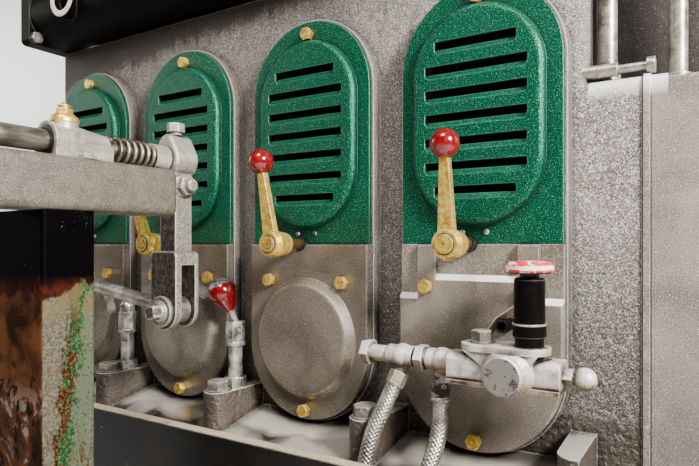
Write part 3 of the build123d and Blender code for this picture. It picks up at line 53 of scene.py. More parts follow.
def box(name):
    """Lowest corner, highest corner and middle of a node, to a tenth of a millimetre."""
    corners = [nodes[name].matrix_world @ Vector(corner) for corner in nodes[name].bound_box]
    low = Vector([round(min(corner[i] for corner in corners), 4) for i in range(3)])
    high = Vector([round(max(corner[i] for corner in corners), 4) for i in range(3)])
    return low, high, (low + high) / 2


# Places read from the frame, in metres
CENTRES = [round(box(f"upper_door_{i}")[2].x, 4) for i in range(1, 5)]
PITCH = round(CENTRES[1] - CENTRES[0], 4)
BOSS_XS = [x + PITCH / 2 for x in CENTRES[:-1]]
DOOR_LOW, DOOR_HIGH, _ = box("upper_door_1")
SEAM = round((DOOR_LOW.z + box("lower_door_1")[1].z) / 2, 4)
ARCH_CENTRE = DOOR_HIGH.z - (DOOR_HIGH.x - DOOR_LOW.x) / 2
PAD_FACE = DOOR_HIGH.y
LOWER_FACE = box("lower_door_4")[0].y
BOSS_TOP = box("cocks")[0].z
SHAFT = box("control_shaft")[2]
BEARING_NEAR = box("shaft_bearing")[0].y
SPRING_LOW, SPRING_HIGH, _ = box("shaft_spring")
CUP_LOW, _, CUP_MIDDLE = box("grease_cup")
PIN = box("clevis_pin")[2]
LEVER_MIDDLE_Y = box("control_rod")[2].y
LEVER_LOW, LEVER_HIGH, _ = box("control_lever")
BARREL_LOW, _, BARREL_MIDDLE = box("pump_barrel")
PUMP = Vector((BARREL_MIDDLE.x, BARREL_MIDDLE.y, BARREL_LOW.z))
PLUG_FACE = box("header_body")[0].y
MANIFOLD_LOW, _, MANIFOLD_MIDDLE = box("exhaust_manifold")
POST_LOW = box("control_post")[0]

# Sizes that no node's box gives, in metres and degrees
DOOR_SHEET = 0.0046
COVER = PAD_FACE - DOOR_SHEET
TOP_BOLT_RISE = 0.255
LOWER_BOLTS = ((-0.0555, -0.045), (0.0555, -0.045), (0, -0.201))
RIVET_OFFSETS = (-0.016, 0.010)
RIVET_RISE = 0.0124
LEVER_OFFSET = -0.008
LEVER_REACH = 0.0562
LEVER_FRONT = LOWER_FACE - LEVER_REACH
LEVER_LEANS = (6.0, 17.0, 7.0, 0.0)
BOSS_BOLT_Y = -0.2356
HEADER_BOLT_OFFSET = 0.0455
HEADER_BOLT = PUMP - Vector((HEADER_BOLT_OFFSET, 0, 0))
MANIFOLD_PORT_REACH = 0.056
MANIFOLD_BOLT_OFFSET = 0.0405
CASTING_END_X = box("timing_upper_case")[0].x - 0.0003
SHELF_TOP = box("timing_gasket")[1].z - 0.001
CASE_LIP_X = box("timing_case")[0].x + 0.0065
HOSE_ROUTES = {
    "left": ((0.254, -0.232, 0.285), (0.246, -0.244, 0.258), (0.239, -0.256, 0.234), (0.238, -0.264, 0.206)),
    "right": ((0.306, -0.230, 0.276), (0.308, -0.234, 0.253), (0.308, -0.248, 0.229), (0.304, -0.262, 0.206)),
}
HOSE_R = 0.0085
FERRULES = {
    "left": ((0, -0.0012), (0.0096, -0.0010), (0.0099, 0.0004), (0.0096, 0.0018), (0, 0.0020)),
    "right": ((0, -0.0010), (0.0100, -0.0008), (0.0106, 0.0004), (0.0106, 0.0016), (0.0099, 0.0028),
              (0, 0.0030)),
}

# Across flats and height of the bolt heads
DOOR_BOLT = (0.014, 0.0075)
FLANGE_BOLT = (0.016, 0.009)
HEADER_BOLT_HEAD = (0.018, 0.010)
FOOT_BOLT = (0.024, 0.011)


# Shader maths

class Sock:
    """One output socket; arithmetic on it adds Math nodes to its tree."""

    def __init__(self, finish, socket):
        self.finish = finish
        self.socket = socket

    def math(self, operation, *others, clamp=False):
        """A Math node of this value and the others."""
        node = self.finish.tree.nodes.new("ShaderNodeMath")
        node.operation = operation
        node.use_clamp = clamp
        for place, value in enumerate((self, *others)):
            self.finish.feed(node.inputs[place], value)
        return Sock(self.finish, node.outputs[0])

    def __add__(self, other):
        return self.math("ADD", other)

    def __sub__(self, other):
        return self.math("SUBTRACT", other)

    def __mul__(self, other):
        return self.math("MULTIPLY", other)

    def __truediv__(self, other):
        return self.math("DIVIDE", other)

    def __rsub__(self, other):
        return (self * -1.0).math("ADD", other)

    __radd__ = __add__
    __rmul__ = __mul__

    def above(self, edge, soft):
        """0 below edge, 1 above edge + soft, and a ramp between them."""
        return ((self - edge) / soft).math("MULTIPLY", 1.0, clamp=True)

    def most(self, other):
        """The larger of two values."""
        return self.math("MAXIMUM", other)

    def below(self, edge, soft):
        """1 below edge - soft, 0 above edge, and a ramp between them."""
        return 1.0 - self.above(edge - soft, soft)


class Finish:
    """One material and the nodes that make it."""

    def __init__(self, name):
        self.material = bpy.data.materials.new(name)
        self.material.use_nodes = True
        self.tree = self.material.node_tree
        self.tree.nodes.clear()
        self.out = self.tree.nodes.new("ShaderNodeOutputMaterial")
        self.shader = self.tree.nodes.new("ShaderNodeBsdfPrincipled")
        self.tree.links.new(self.shader.outputs[0], self.out.inputs["Surface"])

    def feed(self, place, value):
        """Put a number, a colour or a link into one input socket."""
        if isinstance(value, Sock):
            self.tree.links.new(value.socket, place)
        elif isinstance(value, (tuple, list)) and len(value) == 3 and place.type == "RGBA":
            place.default_value = (*value, 1.0)
        else:
            place.default_value = value

    def node(self, kind, settings=None, output=0, **inputs):
        """Any node: its settings first, then the values or links of its sockets."""
        made = self.tree.nodes.new("ShaderNode" + kind)
        for key, value in (settings or {}).items():
            setattr(made, key, value)
        for key, value in inputs.items():
            self.feed(made.inputs[key.replace("_", " ")], value)
        return Sock(self, made.outputs[output])

    def place(self, stretch=(1, 1, 1)):
        """Position on the piece, in metres, stretched along its axes."""
        here = self.node("TexCoord", output=3)
        return self.node("Mapping", Vector=here, Scale=stretch)

    def axis(self, letter):
        """One coordinate of the position on the piece, in metres."""
        return self.part_of(self.node("TexCoord", output=3), letter)

    def facing(self, letter):
        """One coordinate of the surface's own direction on the piece, from -1 to 1."""
        return self.part_of(self.node("TexCoord", output=1), letter)

    def part_of(self, vector, letter):
        """X, Y or Z of a vector."""
        return self.node("SeparateXYZ", output="XYZ".index(letter), Vector=vector)

    def noise(self, scale, detail=4.0, rough=0.55, stretch=(1, 1, 1), warp=0.0):
        """Noise value from 0 to 1."""
        return self.node("TexNoise", Vector=self.place(stretch), Scale=scale, Detail=detail, Roughness=rough,
                         Distortion=warp)

    def cells(self, scale, output=0):
        """Voronoi value: distance to the cell's middle, or the cell's own random colour."""
        return self.node("TexVoronoi", output=output, Vector=self.place(), Scale=scale)

    def speck(self, scale, share, size=0.3):
        """Small round flecks in that share of random cells: 1 on a fleck, else 0."""
        chance = self.node("SeparateColor", Color=self.cells(scale, output=1))
        return chance.above(1.0 - share, 0.001) * self.cells(scale).below(size, 0.1)

    def mix(self, mask, low, high):
        """Colour that runs from low to high with mask."""
        made = self.tree.nodes.new("ShaderNodeMix")
        made.data_type = "RGBA"
        self.feed(made.inputs[0], mask)
        self.feed(made.inputs[6], low)
        self.feed(made.inputs[7], high)
        return Sock(self, made.outputs[2])

    def rounded(self, radius):
        """Surface direction as if the edges were rounded by radius."""
        return self.node("Bevel", {"samples": 4}, Radius=radius)

    def corners(self, radius):
        """1 on sharp edges, 0 on flat faces."""
        plain = self.node("NewGeometry", output=1)
        dot = self.node("VectorMath", {"operation": "DOT_PRODUCT"}, output=1)
        self.feed(dot.socket.node.inputs[0], self.rounded(radius))
        self.feed(dot.socket.node.inputs[1], plain)
        return (1.0 - dot).above(0.02, 0.10)

    def edges(self, radius):
        """1 on outer edges, for a painted highlight where they also wear bright; 0 on flats and in inner
        corners.
        """
        return self.corners(radius) * (1.0 - self.crevice(0.006).above(0.30, 0.12))

    def crevice(self, reach):
        """1 in corners and crevices, 0 in the open."""
        return 1.0 - self.node("AmbientOcclusion", {"samples": 6}, output=1, Distance=reach)

    def bump(self, height, strength, distance, edge=0.0):
        """Bump normal from a height, over edges rounded by edge."""
        made = self.node("Bump", Height=height, Strength=strength, Distance=distance)
        if edge:
            self.feed(made.socket.node.inputs["Normal"], self.rounded(edge))
        return made

    def set(self, **values):
        """Values or links of the shader's own sockets."""
        for key, value in values.items():
            self.feed(self.shader.inputs[key.replace("_", " ")], value)
        return self.material


def linear(r, g, b):
    """Scene colour from a 0 to 255 screen colour."""
    def one(value):
        value /= 255
        return value / 12.92 if value <= 0.04045 else ((value + 0.055) / 1.055) ** 2.4
    return one(r), one(g), one(b)


def toned(colour, times=1.0, plus=0):
    """Scene colour of a screen colour made darker or paler."""
    return linear(*[min(255, part * times + plus) for part in colour])


# Finishes

def wall_paint():
    """Sparkling grey paint over a rough sand casting, pale above, dark, pitted and oily below, with painted
    glints, painted shade in its crevices, under the manifold and in its hollows, and painted highlights on its
    edges and foot tops.
    """
    f = Finish("wall_paint")
    grain = f.noise(820, 3.0, 0.8)
    lumps = f.noise(150, 4.0, 0.6)
    clouds = f.noise(8, 5.0, 0.6, warp=0.6)
    x, y, z = f.axis("X"), f.axis("Y"), f.axis("Z")
    low = z.below(0.47, 0.16)
    right = x.above(0.05, 0.3)
    boss = z.below(BOSS_TOP + 0.015, 0.004)
    colour = f.mix(clouds.above(0.40, 0.30), linear(100, 90, 79), linear(138, 126, 115))
    # Darker and browner towards the bottom.
    colour = f.mix(low * 0.92, colour, linear(76, 66, 56))
    # The white flecks are painted glints, stronger on the right where the light falls, fainter low down and on
    # the bosses.
    fleck = grain.above(0.562, 0.04) * (0.35 + right * 0.4) * (1.0 - low * 0.5) * (1.0 - boss * 0.7)
    colour = f.mix(fleck, colour, linear(255, 252, 248))
    colour = f.mix(grain.below(0.458, 0.04) * (0.9 - boss * 0.5), colour, linear(34, 25, 18))
    streak = f.noise(20, 6.0, 0.7, stretch=(1.6, 1.6, 0.6), warp=0.8)
    # Dark brown under the manifold is oily staining with painted shade; oily streaks sit higher up; painted
    # shade, mottled, lies in the crevices.
    oil_and_shade = (z + (streak - 0.5) * 0.10 - x * 0.10).above(0.722, 0.018) * x.below(0.22, 0.2) * 0.75
    oil_and_shade = oil_and_shade.most(streak.above(0.56, 0.06) * z.above(0.57, 0.12) * 0.35)
    oil_and_shade = oil_and_shade.most(f.crevice(0.022).above(0.20, 0.36) * lumps.above(0.26, 0.25))
    colour = f.mix(oil_and_shade, colour, linear(34, 24, 14))
    # Up-facing foot tops: a painted sheen near the wall and in patches over a dark oily ground, white painted
    # glints, a pale painted highlight on the boss tops, painted shade in the corners.
    foot = f.facing("Z").above(0.12, 0.3) * boss
    sheen_noise = f.noise(9, 2.0, 0.5, warp=0.2)
    near_wall = (y.math("ABSOLUTE") + (sheen_noise - 0.5) * 0.08).below(0.234, 0.014)
    bright = (sheen_noise.above(0.50, 0.08) * 0.75).most(near_wall)
    colour = f.mix(foot, colour, f.mix(bright, linear(58, 48, 37), linear(222, 214, 200)))
    colour = f.mix(foot * grain.above(0.60, 0.04) * 0.5, colour, linear(250, 246, 238))
    colour = f.mix(foot * z.above(BOSS_TOP - 0.0005, 0.0004), colour, linear(206, 199, 186))
    colour = f.mix(foot * f.crevice(0.03).above(0.20, 0.34) * 0.9, colour, linear(44, 32, 22))
    # Painted highlights on the outer edges, where they also wear bright.
    colour = f.mix(f.edges(0.0022) * lumps.above(0.28, 0.2) * 0.85, colour, linear(240, 235, 228))
    # Painted highlight along the rounded top edge of the shelf.
    shelf = x.above(CASTING_END_X - 0.0002, 0.0006) * z.above(SHELF_TOP - 0.019, 0.012)
    colour = f.mix(shelf * z.below(SHELF_TOP + 0.0025, 0.0003) * 0.85, colour, linear(246, 240, 234))
    # Near black painted shade inside the door openings; near black also around the lever bushes.
    across = ((x / PITCH + 2.0).math("FRACT") - 0.5) * PITCH
    over = (z - ARCH_CENTRE).most(0.0)
    behind = (across * across + over * over).below(0.070 ** 2, 0.0002) * z.above(SEAM + 0.010, 0.002)
    behind = behind * y.above(PAD_FACE - 0.0007, 0.0002) * y.below(0.0, 0.001)
    behind = behind * x.math("ABSOLUTE").below(CENTRES[-1] + 0.090, 0.001)
    bush = y.below(PAD_FACE - 0.0022, 0.0005) * (z - SEAM).math("ABSOLUTE").below(0.0088, 0.0004)
    colour = f.mix(behind.most(bush), colour, linear(7, 7, 6))
    # Painted shade in the recess above the shelf at the end of the casting.
    recess = x.above(CASTING_END_X - 0.0004, 0.0006) * z.above(SHELF_TOP + 0.003, 0.001)
    colour = f.mix(recess * 0.9, colour, linear(26, 19, 13))
    rough = 0.40 - low * 0.14 - oil_and_shade * 0.16 + grain * 0.12 - foot * 0.14
    height = (grain * 0.7 * (1.0 - boss * 0.6) + lumps * (0.7 + low * 1.3)) * (1.0 - foot * 0.93)
    return f.set(Base_Color=colour, Roughness=rough, Metallic=0.3 + foot * 0.25,
                 Normal=f.bump(height, 0.9, 0.0022, 0.0015))


def cast_grey(name, base, shade, speckle=0.5, gloss=0.40, metallic=0.3, painted_step_highlight=False,
              gasket_line=False):
    """Grey paint over a fine casting, with oily soiling and painted shade in its corners and painted highlights
    on its worn edges.
    """
    f = Finish(name)
    grain = f.noise(760, 3.0, 0.8)
    clouds = f.noise(14, 5.0, 0.6, warp=0.6)
    smear = f.noise(70, 5.0, 0.65, warp=0.5)
    colour = f.mix(clouds.above(0.38, 0.30), linear(*shade), linear(*base))
    colour = f.mix(grain.above(0.60, 0.05) * speckle, colour, toned(base, plus=110))
    colour = f.mix(grain.below(0.44, 0.07) * speckle, colour, toned(shade, times=0.45))
    colour = f.mix(f.speck(420, 0.07, 0.20) * 0.8, colour, linear(200, 188, 172))
    # Oily soiling and painted shade in the corners.
    oil_and_shade = f.crevice(0.016).above(0.25, 0.45) * smear.above(0.30, 0.25)
    colour = f.mix(oil_and_shade, colour, linear(24, 17, 12))
    # Painted highlights on the outer edges, where they also wear bright.
    colour = f.mix(f.edges(0.0012) * smear.above(0.32, 0.2) * 0.8, colour, linear(222, 215, 205))
    if gasket_line:
        line = (f.axis("X") - CASE_LIP_X).math("ABSOLUTE").below(0.0007, 0.0003)
        colour = f.mix(line, colour, linear(40, 28, 18))
        # Painted highlight along the top edge of the shelf.
        shelf = f.axis("Z").above(SHELF_TOP - 0.021, 0.012) * f.axis("X").below(CASE_LIP_X + 0.0145, 0.0005)
        colour = f.mix(shelf * 0.8, colour, linear(246, 240, 234))
    if painted_step_highlight:
        # Painted highlight on the up-facing faces of the steps below the seam.
        step = f.facing("Z").above(0.4, 0.15) * f.axis("Z").below(SEAM - 0.0025, 0.001)
        colour = f.mix(step, colour, linear(240, 236, 228))
    rough = gloss + grain * 0.14 - oil_and_shade * 0.12
    return f.set(Base_Color=colour, Roughness=rough, Metallic=metallic,
                 Normal=f.bump(grain * 0.7 + smear * 0.4, 0.5, 0.0012, 0.0012))


def hammered_green():
    """Emerald enamel with a fine grain carrying painted glints, painted shade where it is pressed in and in its
    corners, and painted highlights on its edges.
    """
    f = Finish("hammered_green")
    grain = f.noise(800, 3.0, 0.8)
    dimple = f.noise(300, 2.0, 0.5)
    clouds = f.noise(12, 4.0, 0.6)
    colour = f.mix(grain.above(0.42, 0.2), linear(0, 36, 24), linear(0, 112, 78))
    colour = f.mix(clouds.above(0.40, 0.3) * 0.4, colour, linear(0, 70, 50))
    # The pale flecks are painted glints.
    colour = f.mix(grain.above(0.610, 0.05) * 0.85, colour, linear(150, 224, 196))
    colour = f.mix(grain.below(0.440, 0.05) * 0.7, colour, linear(0, 16, 10))
    # Painted shade in the louvre scoops, corners and crevices.
    colour = f.mix(f.crevice(0.016).above(0.16, 0.42) * 0.9, colour, linear(0, 11, 8))
    # Painted highlights on the outer edges.
    colour = f.mix(f.edges(0.0013) * 0.45, colour, linear(128, 206, 174))
    return f.set(Base_Color=colour, Roughness=0.26 + grain * 0.12, Metallic=0.45, Specular_IOR_Level=0.25,
                 Normal=f.bump(dimple * 0.6 + grain * 0.7, 0.45, 0.0012, 0.001))


def plain_metal(name, base, dull, roughness, metallic=1.0, grain_scale=700, bump=0.25, oil_and_shade=(30, 24, 18),
                brushed=(1, 1, 1), grime_shade_strength=0.9, shaded_sides=False, fleck=0.0):
    """Bare or thinly painted metal: fine grain, painted highlights on its worn edges, grimy soiling and painted
    shade in its corners, and on request painted shade on its sides.
    """
    f = Finish(name)
    grain = f.noise(grain_scale, 4.0, 0.6, stretch=brushed)
    clouds = f.noise(60, 4.0, 0.6, warp=0.5)
    colour = f.mix(clouds.above(0.38, 0.28), linear(*dull), linear(*base))
    if fleck:
        speckle = f.noise(850, 3.0, 0.8)
        colour = f.mix(speckle.above(0.56, 0.06) * fleck, colour, toned(base, plus=90))
        colour = f.mix(speckle.below(0.45, 0.06) * fleck, colour, toned(dull, times=0.45))
    # Painted highlights on the outer edges, where they also wear bright.
    colour = f.mix(f.edges(0.0012) * 0.7, colour, toned(base, plus=60))
    # Grimy soiling and painted shade in the corners; on request also a mottled painted shade on faces that do
    # not face up.
    grime_and_shade = f.crevice(0.008).above(0.25, 0.5) * f.noise(240, 3.0, 0.6).above(0.30, 0.3)
    if shaded_sides:
        grime_and_shade = grime_and_shade.most(f.facing("Z").below(0.5, 0.2) * clouds.above(0.30, 0.2))
    colour = f.mix(grime_and_shade * grime_shade_strength, colour, linear(*oil_and_shade))
    return f.set(Base_Color=colour, Roughness=roughness + grain * 0.2 + grime_and_shade * 0.15,
                 Metallic=metallic - grime_and_shade * 0.6 * metallic,
                 Normal=f.bump(grain + clouds * 0.6, bump, 0.0006, 0.0007))


def worn_brass(name, dark_neck):
    """Satin brass, pale on its faces, with brown mottling, grimy soiling and painted shade in its corners,
    painted highlights on its edges and a black neck.
    """
    f = Finish(name)
    mottle = f.noise(170, 6.0, 0.7, warp=0.6)
    grain = f.noise(900, 3.0, 0.6)
    colour = f.mix(mottle.above(0.42, 0.16), linear(216, 162, 60), linear(255, 222, 112))
    colour = f.mix(mottle.below(0.40, 0.10) * 0.8, colour, linear(98, 62, 22))
    # Painted highlights on the outer edges, where they also wear bright.
    colour = f.mix(f.edges(0.0010) * 0.6, colour, linear(250, 234, 180))
    # Grimy soiling and painted shade in the corners.
    grime_and_shade = f.crevice(0.006).above(0.30, 0.45)
    if dark_neck:
        grime_and_shade = grime_and_shade.most(f.axis("Y").above(LEVER_FRONT + 0.030, 0.0006))
    colour = f.mix(grime_and_shade * 0.95, colour, linear(34, 20, 8))
    return f.set(Base_Color=colour, Roughness=0.28 + grain * 0.16, Metallic=0.76 - grime_and_shade * 0.5,
                 Normal=f.bump(grain * 0.5 + mottle, 0.35, 0.0008, 0.0008))


def gloss_red(name, scratched):
    """Glossy red plastic, with grey scratches where it is worn."""
    f = Finish(name)
    wear = f.noise(170, 5.0, 0.65, warp=0.8)
    clear = linear(112, 3, 9) if scratched else linear(136, 4, 10)
    colour = f.mix(wear.above(0.42, 0.2), linear(92, 2, 8), clear)
    rough = 0.10 + wear * 0.14
    if scratched:
        top = f.axis("Z") - f.axis("X") * 0.8 + wear * 0.012
        bare = top.above(0.3825, 0.002) * f.noise(260, 4.0, 0.6).above(0.36, 0.05)
        colour = f.mix(bare, colour, linear(100, 98, 112))
        colour = f.mix(bare * wear.above(0.49, 0.04), colour, linear(24, 18, 22))
        rough = rough + bare * 0.16
    return f.set(Base_Color=colour, Roughness=rough, Coat_Weight=0.6, Normal=f.bump(wear, 0.10, 0.0008))


def worn_disc():
    """Red enamel on the pump's hand disc, worn to white in a band around its rim and in patches."""
    f = Finish("worn_disc")
    patch = f.noise(110, 5.0, 0.65, warp=0.8)
    z = f.axis("Z") + (patch - 0.5) * 0.006
    worn = (z.below(0.4108, 0.0004) * z.above(0.4070, 0.0004)).most(patch.above(0.545, 0.02))
    colour = f.mix(worn, linear(206, 26, 20), linear(240, 234, 230))
    colour = f.mix(f.axis("Z").below(0.4052, 0.0004), colour, linear(30, 10, 8))
    return f.set(Base_Color=colour, Roughness=0.32 + patch * 0.15,
                 Normal=f.bump(worn * -1.0 + patch * 0.2, 0.3, 0.0005, 0.001))


def satin_black(name, tint=(16, 15, 15), roughness=0.32, dust_tint=(72, 60, 50), specular=0.5):
    """Black paint or plastic, faintly uneven, with brown dust on it and a pale painted highlight on its sharp
    edges.
    """
    f = Finish(name)
    dust = f.noise(80, 5.0, 0.6)
    colour = f.mix(dust.above(0.52, 0.25) * 0.5, linear(*tint), linear(*dust_tint))
    # Pale painted highlight on the sharp edges.
    colour = f.mix(f.corners(0.0016) * 0.35, colour, linear(150, 140, 130))
    return f.set(Base_Color=colour, Roughness=roughness + dust * 0.2, Specular_IOR_Level=specular,
                 Normal=f.bump(f.noise(500), 0.25, 0.0006, 0.001))


def worn_post():
    """Grey-beige paint with a diagonal band of green and rust, under a black tarry top."""
    f = Finish("worn_post")
    z = f.axis("Z")
    inward = f.axis("Y") - (POST_LOW.y + 0.018)
    fine = f.noise(420, 5.0, 0.7)
    patch = f.noise(75, 6.0, 0.68, stretch=(1, 1.3, 0.7), warp=1.0)
    broad = f.noise(26, 6.0, 0.65, warp=0.8)
    side = f.facing("X").above(0.5, 0.2)
    across = inward / 0.051 - 0.60 - (z - 0.355) * 2.1 + (patch - 0.5) * 0.9
    band = 1.0 - across.math("ABSOLUTE").above(0.13, 0.05)
    paint = f.mix(fine.above(0.44, 0.2), linear(72, 66, 54), linear(112, 104, 88))
    paint = f.mix(across.above(0.05, 0.2) * broad.above(0.40, 0.1) * 0.75, paint, linear(74, 88, 66))
    paint = f.mix(f.speck(330, 0.22, 0.30) * across.above(0.0, 0.2), paint, linear(30, 20, 14))
    rust = f.mix(fine.above(0.44, 0.2), linear(34, 18, 9), linear(100, 66, 34))
    green = f.mix(fine.above(0.46, 0.16), linear(26, 50, 30), linear(72, 104, 60))
    flaked = f.mix(patch.above(0.49, 0.04), green, rust)
    paint = f.mix(band, paint, flaked)
    paint = f.mix(z.below(0.262, 0.05) * patch.above(0.48, 0.05) * 0.9, paint, rust)
    paint = f.mix(z.above(0.352, 0.02) * patch.above(0.44, 0.06) * 0.7, paint, linear(98, 86, 54))
    brown = f.mix(broad.above(0.40, 0.2), linear(34, 18, 9), linear(86, 52, 28))
    bare = z.below(0.300, 0.03) * broad.above(0.54, 0.02)
    brown = f.mix(bare * 0.8, brown, linear(120, 108, 100))
    brown = f.mix(patch.above(0.54, 0.03) * z.below(0.330, 0.03), brown, linear(16, 9, 6))
    colour = f.mix(side, brown, paint)
    edge = (z + (f.noise(48, 6.0, 0.65, warp=0.6) - 0.5) * 0.05 - inward * 0.25).above(0.378, 0.004)
    tar = f.mix(fine.above(0.64, 0.04) * broad.above(0.55, 0.05), linear(2, 1, 2), linear(96, 92, 104))
    drip = f.mix(patch.above(0.45, 0.1), linear(28, 12, 8), linear(58, 22, 14))
    tar = f.mix(z.below(0.400, 0.012), tar, drip)
    colour = f.mix(edge, colour, tar)
    sunk = patch.above(0.49, 0.04) * -0.5 - 0.3
    height = band * sunk * side + fine * 0.3 + edge * 0.5
    rough = 0.58 - edge * 0.12 + fine * 0.15
    return f.set(Base_Color=colour, Roughness=rough, Specular_IOR_Level=0.03,
                 Normal=f.bump(height, 0.6, 0.0012, 0.002))


def dark_rail():
    """Oily near-black rail, with a worn top whose face and edges also carry a painted highlight."""
    f = Finish("dark_rail")
    film = f.noise(26, 5.0, 0.6, stretch=(0.5, 1, 1), warp=0.4)
    fine = f.noise(800, 3.0, 0.6)
    # Bright top face and edges: wear with a painted highlight.
    top = f.facing("Z").above(0.6, 0.2) * f.axis("Z").above(0.20, 0.01)
    bright = (f.corners(0.003) * 0.8).most(top) * f.noise(60, 5.0, 0.65).above(0.22, 0.2)
    colour = f.mix(film.above(0.42, 0.3), linear(8, 6, 5), linear(26, 20, 15))
    colour = f.mix(f.speck(140, 0.06, 0.16) * 0.8, colour, linear(170, 160, 140))
    colour = f.mix(bright, colour, f.mix(fine.above(0.4, 0.2), linear(150, 134, 108), linear(206, 192, 164)))
    return f.set(Base_Color=colour, Roughness=0.38 - film * 0.12 + bright * 0.1, Metallic=0.2,
                 Specular_IOR_Level=0.2, Normal=f.bump(fine, 0.3, 0.0006, 0.003))


def pale_alloy():
    """Pale cast alloy with a powdery bloom, tan towards the bottom, brown painted shade on faces that do not
    face up and darker on its undersides, grimy soiling and painted shade in its corners, painted highlights on
    its edges and a bare plug face.
    """
    f = Finish("pale_alloy")
    bloom = f.noise(90, 5.0, 0.6, warp=0.4)
    stain = f.noise(120, 5.0, 0.7, warp=0.2)
    fine = f.noise(700, 3.0, 0.7)
    x, z = f.axis("X"), f.axis("Z")
    colour = f.mix(bloom.above(0.34, 0.25), linear(158, 147, 134), linear(224, 218, 209))
    # Tan towards the bottom, with stains.
    low = z.below(0.3095, 0.007) * bloom.above(0.28, 0.25) * 0.85
    colour = f.mix(low.most(stain.above(0.60, 0.10) * 0.5), colour, linear(112, 86, 58))
    # Brown painted shade on faces that do not face up.
    colour = f.mix(f.facing("Z").below(0.40, 0.9) * (0.35 + bloom * 0.6), colour, linear(122, 102, 80))
    colour = f.mix(fine.below(0.44, 0.06) * 0.4, colour, linear(120, 98, 76))
    # Darker painted shade on the undersides, and the same darker brown on the body's bottom strip.
    under = (f.facing("Z").below(-0.1, 0.5) * 0.85).most(z.below(0.3048, 0.0004) * x.above(0.323, 0.001))
    colour = f.mix(under, colour, f.mix(bloom.above(0.42, 0.2), linear(70, 48, 30), linear(158, 132, 102)))
    # Grimy soiling and painted shade in the corners.
    grime_and_shade = f.crevice(0.014).above(0.12, 0.26) * f.noise(160, 3.0, 0.6).above(0.24, 0.3)
    colour = f.mix(grime_and_shade, colour, linear(44, 28, 16))
    # Painted highlights on the outer edges.
    colour = f.mix(f.edges(0.0012) * 0.7, colour, linear(250, 248, 244))
    dark_nut = x.above(0.290, 0.0005) * x.below(0.3225, 0.0005) * z.below(0.2990, 0.0005)
    colour = f.mix(dark_nut, colour, f.mix(bloom.above(0.46, 0.08), linear(60, 54, 48), linear(158, 152, 144)))
    bare = f.axis("Y").below(PLUG_FACE + 0.0004, 0.0002)
    colour = f.mix(bare, colour, f.mix(stain.above(0.54, 0.04), linear(116, 110, 105), linear(60, 53, 48)))
    return f.set(Base_Color=colour, Roughness=0.34 + fine * 0.22 - dark_nut * 0.15,
                 Metallic=0.30 + dark_nut * 0.5, Normal=f.bump(fine + bloom * 0.5, 0.4, 0.0008, 0.0014))


def rough_iron():
    """Rough grey casting of the control lever and its bearing: dark gritty fronts, painted highlights on its
    rounded edges, grimy soiling and painted shade in its corners.
    """
    f = Finish("rough_iron")
    grit = f.noise(520, 3.0, 0.75)
    lumps = f.noise(170, 4.0, 0.6)
    colour = f.mix(grit.above(0.42, 0.2), linear(116, 105, 90), linear(196, 188, 172))
    gritty = f.facing("Y").below(-0.55, 0.3) * f.axis("Z").below(SHAFT.z - 0.040, 0.03)
    dark = f.mix((grit * 0.5 + lumps * 0.5).above(0.46, 0.16), linear(34, 28, 21), linear(112, 102, 86))
    head = f.mix(lumps.above(0.42, 0.2), linear(176, 166, 150), linear(216, 208, 194))
    colour = f.mix(f.axis("Z").above(SHAFT.z - 0.025, 0.02) * 0.75, colour, head)
    colour = f.mix(gritty, colour, dark)
    colour = f.mix(lumps.above(0.56, 0.08) * 0.5 * (1.0 - gritty), colour, linear(120, 98, 70))
    # Painted highlights on the rounded edges.
    colour = f.mix(f.edges(0.003) * 0.95, colour, linear(230, 222, 208))
    # Grimy soiling and painted shade in the corners.
    grime_and_shade = f.crevice(0.010).above(0.26, 0.38) * lumps.above(0.30, 0.2)
    colour = f.mix(grime_and_shade, colour, linear(26, 18, 10))
    return f.set(Base_Color=colour, Roughness=0.32 + grit * 0.2, Metallic=0.65,
                 Normal=f.bump(grit * 0.7 + lumps, 0.7, 0.0014, 0.0025))


def shaft_steel():
    """Oily steel of the control shaft, with its collar in grey paint."""
    f = Finish("shaft_steel")
    film = f.noise(70, 5.0, 0.6, stretch=(1, 0.3, 1), warp=0.4)
    colour = f.mix(film.above(0.40, 0.25), linear(112, 102, 92), linear(194, 186, 176))
    y = f.axis("Y")
    collar = y.above(SPRING_HIGH.y + 0.0001, 0.0002) * y.below(SPRING_HIGH.y + 0.0200, 0.0002)
    colour = f.mix(collar, colour, f.mix(film.above(0.38, 0.2), linear(146, 138, 124), linear(196, 188, 174)))
    # Grimy soiling and painted shade in the corners.
    colour = f.mix(f.crevice(0.008).above(0.3, 0.4), colour, linear(34, 22, 12))
    return f.set(Base_Color=colour, Roughness=0.26 + film * 0.2 + collar * 0.15, Metallic=0.85 - collar * 0.5,
                 Normal=f.bump(film, 0.2, 0.0008, 0.001))


WALL_PAINT = wall_paint()
HEAD_PAINT = cast_grey("head_paint", (176, 168, 158), (140, 132, 124))
CASE_PAINT = cast_grey("case_paint", (152, 140, 130), (116, 104, 95), speckle=1.0, gloss=0.42, gasket_line=True)
DOOR_PAINT = cast_grey("door_paint", (134, 123, 109), (98, 88, 76), speckle=0.4, gloss=0.20, metallic=0.45)
# Door paint with painted highlights on its up-facing steps.
STEP_PAINT = cast_grey("step_paint", (142, 131, 118), (108, 98, 86), speckle=0.7, gloss=0.30, painted_step_highlight=True)
